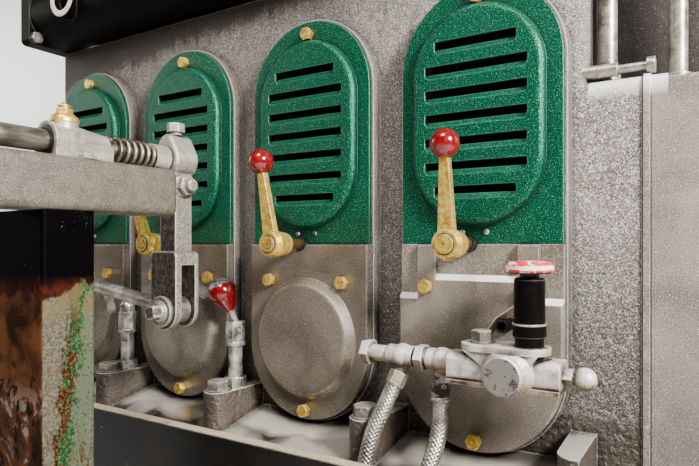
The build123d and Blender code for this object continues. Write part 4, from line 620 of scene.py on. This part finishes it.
# Dark paint on the upper timing case: painted shade of the recess it stands in.
SHADED_RECESS_PAINT = cast_grey("shaded_recess_paint", (58, 49, 42), (30, 24, 20), speckle=0.4, gloss=0.34)
LEVER_IRON = rough_iron()
GREEN = hammered_green()
BEARING_IRON = plain_metal("bearing_iron", (212, 203, 187), (150, 139, 122), 0.30, metallic=0.6,
                           grain_scale=300, bump=0.5, oil_and_shade=(40, 28, 16), fleck=0.25)
BRASS = worn_brass("worn_brass", False)
LEVER_BRASS = worn_brass("lever_brass", True)
STEEL = plain_metal("oily_steel", (190, 182, 168), (104, 94, 80), 0.26, metallic=0.7, fleck=0.3)
# Steel with painted shade on the sides of its bolt heads.
SHADED_SIDE_STEEL = plain_metal("shaded_side_steel", (214, 206, 194), (168, 158, 146), 0.26, metallic=0.7,
                            oil_and_shade=(50, 40, 30), shaded_sides=True, fleck=0.25)
SHAFT_STEEL = shaft_steel()
DARK_STEEL = plain_metal("dark_steel", (226, 220, 208), (72, 64, 54), 0.20, metallic=0.75, fleck=0.3)
BAR_STEEL = plain_metal("bar_steel", (118, 108, 95), (96, 87, 76), 0.36, metallic=0.4, brushed=(1, 0.08, 1),
                        bump=0.2, grime_shade_strength=0.5, fleck=0.5)
RED = gloss_red("gloss_red", False)
RED_WORN = gloss_red("scratched_red", True)
DISC_PAINT = worn_disc()
BARREL_BLACK = satin_black("barrel_black", (6, 5, 4), 0.20, (26, 16, 9), specular=0.09)
MANIFOLD_BLACK = satin_black("manifold_black", (8, 6, 4), 0.40, (22, 16, 11), specular=0.06)
GREASE = satin_black("black_grease", (10, 8, 7), 0.25, (58, 38, 22))
POST_PAINT = worn_post()
RAIL_PAINT = dark_rail()
ALLOY = pale_alloy()
BRAID_WIRE = plain_metal("braid_wire", (226, 220, 206), (150, 140, 122), 0.24, grain_scale=900, bump=0.1,
                         oil_and_shade=(52, 40, 26))
COIL_STEEL = plain_metal("coil_steel", (170, 156, 138), (92, 76, 60), 0.30, oil_and_shade=(26, 14, 8))
JOINT_SHEET = satin_black("joint_sheet", (38, 34, 30), 0.6)

SLOT_FINISH = {
    "cast_grey": WALL_PAINT, "green_paint": GREEN, "door_grey": DOOR_PAINT, "brass": BRASS, "red_knob": RED,
    "red_knob_worn": RED_WORN, "bed_steel": RAIL_PAINT, "head_grey": HEAD_PAINT, "rocker_grey": HEAD_PAINT,
    "manifold_black": MANIFOLD_BLACK, "steel": STEEL, "dark_steel": DARK_STEEL, "pale_alloy": ALLOY,
    "black_barrel": BARREL_BLACK, "pump_disc": DISC_PAINT, "braid": BRAID_WIRE, "lever_grey": LEVER_IRON,
    "bar_grey": BAR_STEEL, "post_paint": POST_PAINT, "gasket": JOINT_SHEET,
}
NODE_FINISH = {
    "shaft_bearing": BEARING_IRON, "lower_door_4": STEP_PAINT, "control_shaft": SHAFT_STEEL,
    "timing_case": CASE_PAINT, "timing_upper_case": SHADED_RECESS_PAINT,
    **{f"hand_lever_{i}": LEVER_BRASS for i in range(1, 5)},
}
for part in frame["record"]["subparts"]:
    obj = nodes[part["node"]]
    obj.data.materials.clear()
    obj.data.materials.append(NODE_FINISH.get(part["node"], SLOT_FINISH[part["material_slot"]]))


# Mesh helpers

def turn_to(direction):
    """Rotation that takes +Z to a direction."""
    return Vector((0, 0, 1)).rotation_difference(Vector(direction)).to_matrix().to_4x4()


def add_lathe(bm, profile, place, segments=28):
    """Turned surface from (radius, height) points; a radius of 0 closes it on the axis."""
    rings = []
    for radius, height in profile:
        if radius == 0:
            rings.append([bm.verts.new(place @ Vector((0, 0, height)))])
            continue
        ring = []
        for i in range(segments):
            angle = 2 * math.pi * i / segments
            point = Vector((radius * math.cos(angle), radius * math.sin(angle), height))
            ring.append(bm.verts.new(place @ point))
        rings.append(ring)
    for low, high in zip(rings, rings[1:]):
        for i in range(segments):
            j = (i + 1) % segments
            corners = [low[i % len(low)], low[j % len(low)], high[j % len(high)], high[i % len(high)]]
            unique = list(dict.fromkeys(corners))
            if len(unique) > 2:
                bm.faces.new(unique)


def add_hex(bm, across, height, place, dish=0.0):
    """Hexagon head with a chamfered crown; dish sinks its middle a little."""
    sides = 24
    crown = across / 2 * 0.97
    low, high, top = [], [], []
    for i in range(sides):
        angle = 2 * math.pi * i / sides
        radius = across / 2 / math.cos((angle + math.pi / 6) % (math.pi / 3) - math.pi / 6)
        drop = (radius - crown) * math.tan(math.radians(30))
        c, s = math.cos(angle), math.sin(angle)
        low.append(bm.verts.new(place @ Vector((radius * c, radius * s, 0))))
        high.append(bm.verts.new(place @ Vector((radius * c, radius * s, height - drop))))
        top.append(bm.verts.new(place @ Vector((crown * c, crown * s, height))))
    middle = bm.verts.new(place @ Vector((0, 0, height - dish)))
    for i in range(sides):
        j = (i + 1) % sides
        bm.faces.new((low[i], low[j], high[j], high[i]))
        bm.faces.new((high[i], high[j], top[j], top[i]))
        bm.faces.new((top[i], top[j], middle))
    bm.faces.new(list(reversed(low)))


def add_skin(bm, rings):
    """Closed skin over a row of rings that have equal numbers of corners."""
    sides = len(rings[0])
    for low, high in zip(rings, rings[1:]):
        for a in range(sides):
            b = (a + 1) % sides
            bm.faces.new((low[a], low[b], high[b], high[a]))
    bm.faces.new(list(reversed(rings[0])))
    bm.faces.new(rings[-1])


def make_piece(name, bm, material, body, sharp=30):
    """Object from a mesh: smooth with sharp edges kept, riding on its body."""
    bmesh.ops.recalc_face_normals(bm, faces=bm.faces)
    for edge in bm.edges:
        edge.smooth = len(edge.link_faces) == 2 and edge.calc_face_angle(0) < math.radians(sharp)
    for face in bm.faces:
        face.smooth = True
    mesh = bpy.data.meshes.new(name)
    bm.to_mesh(mesh)
    bm.free()
    mesh.materials.append(material)
    obj = bpy.data.objects.new(name, mesh)
    bpy.context.scene.collection.objects.link(obj)
    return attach(obj, body)


def aimed(point, direction, spin=0.0):
    """Place with its +Z along a direction, spun about it by degrees."""
    return Matrix.Translation(Vector(point)) @ turn_to(direction) @ Matrix.Rotation(math.radians(spin), 4, "Z")


def add_arc(bm, inner, outer, start, end, height, place, steps=40):
    """Flat raised arc between two radii, from start to end in degrees."""
    rings = []
    for i in range(steps + 1):
        angle = math.radians(start + (end - start) * i / steps)
        c, s = math.cos(angle), math.sin(angle)
        corners = ((inner, 0), (outer, 0), (outer, height), (inner, height))
        rings.append([bm.verts.new(place @ Vector((r * c, r * s, h))) for r, h in corners])
    add_skin(bm, rings)


def frames_along(points):
    """Place at each point of a line: +Z along the line, without twist."""
    places = []
    normal = None
    for i, point in enumerate(points):
        ahead = (points[min(i + 1, len(points) - 1)] - points[max(i - 1, 0)]).normalized()
        if normal is None:
            normal = ahead.orthogonal().normalized()
        normal = (normal - ahead * normal.dot(ahead)).normalized()
        side = ahead.cross(normal)
        turn = Matrix((normal, side, ahead)).transposed().to_4x4()
        places.append(Matrix.Translation(point) @ turn)
    return places


def add_tube(bm, places, section):
    """Closed tube along places, from a section of (x, y) points or one section for each place."""
    rings = []
    for i, place in enumerate(places):
        ring = section[i] if isinstance(section[0], list) else section
        rings.append([bm.verts.new(place @ Vector((u, v, 0))) for u, v in ring])
    add_skin(bm, rings)


def circle_points(radius, sides):
    """Points of a round section."""
    return [(radius * math.cos(2 * math.pi * i / sides), radius * math.sin(2 * math.pi * i / sides))
            for i in range(sides)]


# Pieces on the casting, the header and the stand

FRONT = (0, -1, 0)
BACK = (0, 1, 0)
UP = (0, 0, 1)
RIGHT = (1, 0, 0)


def add_bolt(bm, head, place, washer=0.0):
    """Hex head, given as its across flats and height, on an optional washer."""
    rise = 0.0
    if washer:
        rise = 0.0016
        add_lathe(bm, ((0, 0), (washer, 0), (washer, rise), (0, rise)), place, 24)
    add_hex(bm, *head, place @ Matrix.Translation((0, 0, rise)))


def door_bolts():
    """Brass bolts of the upper and lower doors, front and back."""
    rng = random.Random(3)
    bm = bmesh.new()
    for x in CENTRES:
        for side, outward in ((1, FRONT), (-1, BACK)):
            spots = [(x, COVER * side, SEAM + TOP_BOLT_RISE)]
            spots += [(x + dx, LOWER_FACE * side, SEAM + dz) for dx, dz in LOWER_BOLTS]
            for spot in spots:
                add_bolt(bm, DOOR_BOLT, aimed(spot, outward, rng.uniform(0, 60)))
    return make_piece("door_bolts", bm, BRASS, "engine")


def door_rivets():
    """Pairs of small dark rivets at the foot of the louvred doors."""
    bm = bmesh.new()
    profile = ((0.0032, 0), (0.0032, 0.0006), (0.0024, 0.0018), (0.0010, 0.0023), (0, 0.0024))
    for x in CENTRES:
        for dx in RIVET_OFFSETS:
            add_lathe(bm, profile, aimed((x + dx, COVER, SEAM + RIVET_RISE), FRONT), 18)
    return make_piece("door_rivets", bm, DARK_STEEL, "engine")


def foot_bolts():
    """Broad steel bolts through the foot bosses, on their washers."""
    rng = random.Random(5)
    bm = bmesh.new()
    for x in BOSS_XS:
        for side in (1, -1):
            spot = (x, BOSS_BOLT_Y * side, BOSS_TOP)
            add_bolt(bm, FOOT_BOLT, aimed(spot, UP, rng.uniform(0, 60)), washer=0.0145)
    return make_piece("foot_bolts", bm, SHADED_SIDE_STEEL, "engine")


def header_bolt():
    """Hex bolt in the left end of the header's oblong flange."""
    bm = bmesh.new()
    add_bolt(bm, HEADER_BOLT_HEAD, aimed(HEADER_BOLT, UP, 12), washer=0.0105)
    return make_piece("header_bolt", bm, SHADED_SIDE_STEEL, "engine")


def barrel_band():
    """Thin bright band on the shoulder of the pump barrel's ring."""
    bm = bmesh.new()
    low, high = 0.0195, 0.0212
    profile = ((0.0140, low), (0.0153, low), (0.0155, (low + high) / 2), (0.0153, high), (0.0140, high))
    add_lathe(bm, profile + profile[:1], aimed(PUMP, UP), 40)
    return make_piece("barrel_band", bm, STEEL, "engine")


def vent_stub():
    """Short open pipe out of the last door behind the pump."""
    bm = bmesh.new()
    profile = ((0, 0), (0.0066, 0), (0.0066, 0.021), (0.0060, 0.022), (0.0045, 0.022), (0.0045, 0.009),
               (0, 0.009))
    add_lathe(bm, profile, aimed((PUMP.x - 0.0335, LOWER_FACE, PUMP.z + 0.013), FRONT), 28)
    return make_piece("vent_stub", bm, MANIFOLD_BLACK, "engine")


def vent_strip():
    """Flat bright strip that leans from the header's flange up behind the pump barrel."""
    bm = bmesh.new()
    bends = ((-0.0505, 0.0225, 0), (-0.0375, 0.0225, 0.019), (-0.0215, 0.026, 0.030), (-0.0075, 0.032, 0.034))
    wide, thick = 0.0035, 0.0010
    section = [(wide, thick), (-wide, thick), (-wide, -thick), (wide, -thick)]
    add_tube(bm, frames_along([PUMP + Vector(bend) for bend in bends]), section)
    return make_piece("vent_strip", bm, ALLOY, "engine")


def lever_bolts():
    """Clamp bolt on top of the control lever, and the pinch bolt with its nut below the hub."""
    bm = bmesh.new()
    top = Vector((SHAFT.x, LEVER_MIDDLE_Y, LEVER_HIGH.z - 0.0002))
    add_lathe(bm, ((0, 0), (0.0085, 0), (0.0066, 0.0016), (0.0066, 0.0042), (0, 0.0042)), aimed(top, UP), 24)
    add_hex(bm, 0.018, 0.0105, aimed(top + Vector((0, 0, 0.004)), UP, 8))
    side = Vector((SHAFT.x + 0.0133, LEVER_MIDDLE_Y, SHAFT.z - 0.031))
    add_lathe(bm, ((0, 0), (0.0135, 0), (0.0135, 0.0018), (0, 0.0018)), aimed(side, RIGHT), 30)
    add_hex(bm, 0.021, 0.0085, aimed(side + Vector((0.0018, 0, 0)), RIGHT, 14))
    end = ((0, 0), (0.0072, 0), (0.0072, 0.0062), (0.0058, 0.0078), (0, 0.0078))
    add_lathe(bm, end, aimed(side + Vector((0.0102, 0, 0)), RIGHT), 28)
    return make_piece("control_lever_bolts", bm, LEVER_IRON, "control_lever")


def clevis_rings():
    """Stepped washers around the clevis pin, and the square end of the pin."""
    bm = bmesh.new()
    near = Vector((PIN.x, LEVER_LOW.y, PIN.z))
    profile = (
        (0.0079, 0.0030), (0.0185, 0.0030), (0.0185, 0.0042), (0.0178, 0.0049), (0.0152, 0.0049),
        (0.0146, 0.0042), (0.0132, 0.0042), (0.0126, 0.0062), (0.0108, 0.0066), (0.0098, 0.0090),
        (0.0079, 0.0092), (0.0079, 0.0030),
    )
    add_lathe(bm, profile, aimed(near, FRONT), 40)
    half = 0.0072
    flat = half - 0.0012
    outline = [(flat, half), (half, flat), (half, -flat), (flat, -half),
               (-flat, -half), (-half, -flat), (-half, flat), (-flat, half)]
    small = [(u * 0.86, v * 0.86) for u, v in outline]
    depths = ((0.0094, outline), (0.0176, outline), (0.0186, small))
    base = aimed(near, FRONT, 12)
    places = [base @ Matrix.Translation((0, 0, depth)) for depth, _ in depths]
    add_tube(bm, places, [list(section) for _, section in depths])
    return make_piece("clevis_rings", bm, LEVER_IRON, "control_lever")


def hub_groove_shades(number):
    """Black raised arcs and a dot on the face of one hand lever's hub, painted shade standing in for its turned
    grooves and centre hole.
    """
    x, lean = CENTRES[number - 1] + LEVER_OFFSET, LEVER_LEANS[number - 1]
    bm = bmesh.new()
    face = aimed((x, LEVER_FRONT, SEAM), FRONT, -lean)
    arc_start, arc_end = ((-150, 125), (0, 359.9), (-160, 130), (-130, 135))[number - 1]
    add_arc(bm, 0.0093, 0.0106, arc_start, arc_end, 0.0004, face)
    raised = face @ Matrix.Translation((0, 0, 0.0012))
    if number in (2, 3):
        add_arc(bm, 0.0052, 0.0060, -170, 80, 0.0003, raised)
    add_lathe(bm, ((0, 0), (0.0011, 0), (0.0011, 0.0003), (0, 0.0003)), raised, 14)
    return make_piece(f"hub_groove_shade_{number}", bm, GREASE, f"hand_lever_{number}")


def coil_spring():
    """Coiled wire of the shaft spring, a little closer at the collar's end."""
    turns, steps = 6.0, 30
    wire, mean = 0.0024, 0.0136
    start, end = SPRING_LOW.y + wire, SPRING_HIGH.y - wire
    points = []
    for i in range(int(turns * steps) + 1):
        share = i / (turns * steps)
        along = share ** 0.88
        angle = 2 * math.pi * turns * share + 0.6
        points.append(Vector((SHAFT.x + mean * math.cos(angle), start + (end - start) * along,
                              SHAFT.z + mean * math.sin(angle))))
    bm = bmesh.new()
    add_tube(bm, frames_along(points), circle_points(wire, 12))
    spring = make_piece("coil_spring", bm, COIL_STEEL, "engine", sharp=60)
    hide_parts("shaft_spring")
    return spring


def bearing_seal():
    """Greasy ring in the near end of the shaft bearing."""
    bm = bmesh.new()
    profile = ((0.0116, -0.002), (0.0116, 0.0012), (0.0135, 0.0016), (0.0168, 0.0008), (0.0172, -0.002),
               (0.0116, -0.002))
    add_lathe(bm, profile, aimed((SHAFT.x, BEARING_NEAR, SHAFT.z), FRONT), 36)
    return make_piece("bearing_seal", bm, GREASE, "engine")


def dressed_cup():
    """Brass grease cup: round shoulder, hexagon, flared neck and nipple."""
    bm = bmesh.new()
    base = aimed((CUP_MIDDLE.x, CUP_MIDDLE.y, CUP_LOW.z), UP)
    shoulder = ((0, 0), (0.0124, 0), (0.0130, 0.0012), (0.0128, 0.0044), (0.0112, 0.0072), (0.0086, 0.0092),
                (0.0074, 0.0104), (0, 0.0104))
    add_lathe(bm, shoulder, base, 32)
    add_hex(bm, 0.0132, 0.0050, base @ Matrix.Translation((0, 0, 0.0098)) @ Matrix.Rotation(0.3, 4, "Z"))
    neck = ((0, 0.0144), (0.0052, 0.0144), (0.0050, 0.0160), (0.0064, 0.0172), (0.0064, 0.0180),
            (0.0030, 0.0184), (0.0024, 0.0196), (0.0030, 0.0204), (0.0022, 0.0210), (0, 0.0210))
    add_lathe(bm, neck, base, 24)
    cup = make_piece("dressed_cup", bm, BRASS, "engine")
    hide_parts("grease_cup")
    return cup


def flange_bolts():
    """Bolts in the four corners of the manifold's end flange."""
    bm = bmesh.new()
    middle = Vector((MANIFOLD_LOW.x + 0.024, MANIFOLD_LOW.y + MANIFOLD_PORT_REACH, MANIFOLD_MIDDLE.z))
    for dy in (-MANIFOLD_BOLT_OFFSET, MANIFOLD_BOLT_OFFSET):
        for dz in (-MANIFOLD_BOLT_OFFSET, MANIFOLD_BOLT_OFFSET):
            add_bolt(bm, FLANGE_BOLT, aimed(middle + Vector((0, dy, dz)), RIGHT, 10))
    return make_piece("flange_bolts", bm, STEEL, "engine")


def port_ring():
    """Bright worn rim around the manifold's round port."""
    bm = bmesh.new()
    profile = ((0.0205, -0.004), (0.0205, 0.0006), (0.0215, 0.0012), (0.0285, 0.0012), (0.0295, 0.0002),
               (0.0295, -0.004), (0.0205, -0.004))
    add_lathe(bm, profile, aimed((CENTRES[0], MANIFOLD_LOW.y, MANIFOLD_MIDDLE.z), FRONT), 44)
    return make_piece("port_ring", bm, CASE_PAINT, "engine")


door_bolts()
door_rivets()
foot_bolts()
header_bolt()
barrel_band()
vent_stub()
vent_strip()
lever_bolts()
clevis_rings()
for lever_number in range(1, 5):
    hub_groove_shades(lever_number)
coil_spring()
bearing_seal()
dressed_cup()
flange_bolts()
port_ring()


# Braided hoses

def route_places(side):
    """Places along a hose, read from the smooth curve of its route."""
    curve = bpy.data.curves.new("route_" + side, "CURVE")
    curve.dimensions = "3D"
    route = HOSE_ROUTES[side]
    spline = curve.splines.new("NURBS")
    spline.points.add(len(route) - 1)
    for point, place in zip(spline.points, route):
        point.co = (*place, 1)
    spline.order_u = 3
    spline.use_endpoint_u = True
    spline.resolution_u = 64
    line = bpy.data.objects.new("route_" + side, curve)
    mesh = bpy.data.meshes.new_from_object(line)
    points = [vertex.co.copy() for vertex in mesh.vertices]
    bpy.data.meshes.remove(mesh)
    bpy.data.objects.remove(line)
    return frames_along(points)


def add_strand(bm, places, start, hand, radius, pitch, strands):
    """One flat woven strand around a hose, over and under the strands of the other hand."""
    lift, half_width, half_thick = 0.00042, 0.00172, 0.00018
    wraps = []
    travelled = 0.0
    for i, place in enumerate(places):
        if i:
            travelled += (place.translation - places[i - 1].translation).length
        angle = start + hand * 2 * math.pi * travelled / pitch
        reach = radius + hand * lift * math.cos(2 * math.pi * strands * travelled / pitch)
        out = Vector((math.cos(angle), math.sin(angle), 0))
        around = Vector((-math.sin(angle), math.cos(angle), 0)) * hand
        slope = 2 * math.pi * radius / pitch
        across = (Vector((0, 0, 1)) * slope - around).normalized()
        middle = out * reach
        corners = (middle + across * half_width - out * 0.0001, middle + out * half_thick,
                   middle - across * half_width - out * 0.0001, middle - out * half_thick)
        wraps.append([bm.verts.new(place @ corner) for corner in corners])
    add_skin(bm, wraps)


def braided_hose(side):
    """Woven wire over a dark hose, with the ferrule at its upper end."""
    places = route_places(side)
    strands, pitch = 8, 0.034
    bm = bmesh.new()
    for k in range(strands):
        for hand in (1, -1):
            add_strand(bm, places, 2 * math.pi * k / strands, hand, HOSE_R - 0.0005, pitch, strands)
    braid = make_piece("hose_braid_" + side, bm, BRAID_WIRE, "engine", sharp=70)
    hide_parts("fuel_hose_" + side)
    bm = bmesh.new()
    add_tube(bm, places[::6] + places[-1:], circle_points(HOSE_R - 0.0012, 24))
    make_piece("hose_core_" + side, bm, GREASE, "engine", sharp=60)
    bm = bmesh.new()
    add_lathe(bm, FERRULES[side], places[0], 32)
    make_piece("hose_ferrule_" + side, bm, STEEL, "engine")


for hose_side in HOSE_ROUTES:
    braided_hose(hose_side)


# Camera, light and floor

def photo_camera():
    """Camera of the photograph: level, turned to the left, its lens shifted a little."""
    data = bpy.data.cameras.new("photo")
    data.lens = 29.356
    data.sensor_width = 36.0
    data.shift_x = -0.0722
    data.shift_y = 0.0157
    data.clip_start = 0.02
    data.clip_end = 60
    camera = bpy.data.objects.new("photo", data)
    camera.location = (0.5507, -0.7441, SEAM)
    camera.rotation_euler = (math.radians(90), 0, math.radians(29.56))
    bpy.context.scene.collection.objects.link(camera)
    bpy.context.scene.camera = camera


def softbox(name, place, aim, size, power, tint=(1, 1, 1)):
    """Square area light that looks at a point."""
    data = bpy.data.lights.new(name, "AREA")
    data.energy = power
    data.size = size
    data.color = tint
    lamp = bpy.data.objects.new(name, data)
    lamp.location = place
    lamp.rotation_euler = (Vector(aim) - Vector(place)).to_track_quat("-Z", "Y").to_euler()
    bpy.context.scene.collection.objects.link(lamp)


def pale_floor():
    """Plain pale floor, and a plain pale wall far behind the left end."""
    bm = bmesh.new()
    bmesh.ops.create_grid(bm, x_segments=1, y_segments=1, size=8)
    mesh = bpy.data.meshes.new("floor")
    bm.to_mesh(mesh)
    bm.free()
    f = Finish("floor")
    mesh.materials.append(f.set(Base_Color=(0.62, 0.61, 0.59), Roughness=0.8))
    floor = bpy.data.objects.new("floor", mesh)
    backdrop = bpy.data.objects.new("backdrop", mesh)
    backdrop.matrix_world = Matrix.Translation((-6.0, 3.0, 1.5)) @ Matrix.Rotation(math.pi / 2, 4, "Y")
    backdrop.scale = (0.25, 0.25, 0.25)
    for stage in (floor, backdrop):
        bpy.context.scene.collection.objects.link(stage)


photo_camera()
softbox("key", (1.60, -0.75, 1.25), (0.1, -0.2, 0.50), 0.36, 104)
softbox("front", (0.35, -1.35, 2.30), (0.05, -0.2, 0.45), 0.6, 44, (1.0, 0.98, 0.95))
softbox("left", (-2.3, -1.0, 1.3), (-0.2, -0.2, 0.5), 0.8, 9, (1.0, 0.96, 0.90))
softbox("back", (0.5, 2.4, 2.2), (0, 0, 0.5), 2.0, 60)
softbox("wall", (-3.9, 2.4, 2.4), (-6.0, 2.6, 0.8), 1.0, 170)
pale_floor()
world = bpy.data.worlds.new("studio")
world.use_nodes = True
world.node_tree.nodes["Background"].inputs[0].default_value = (0.92, 0.93, 0.95, 1)
world.node_tree.nodes["Background"].inputs[1].default_value = 0.13
bpy.context.scene.world = world
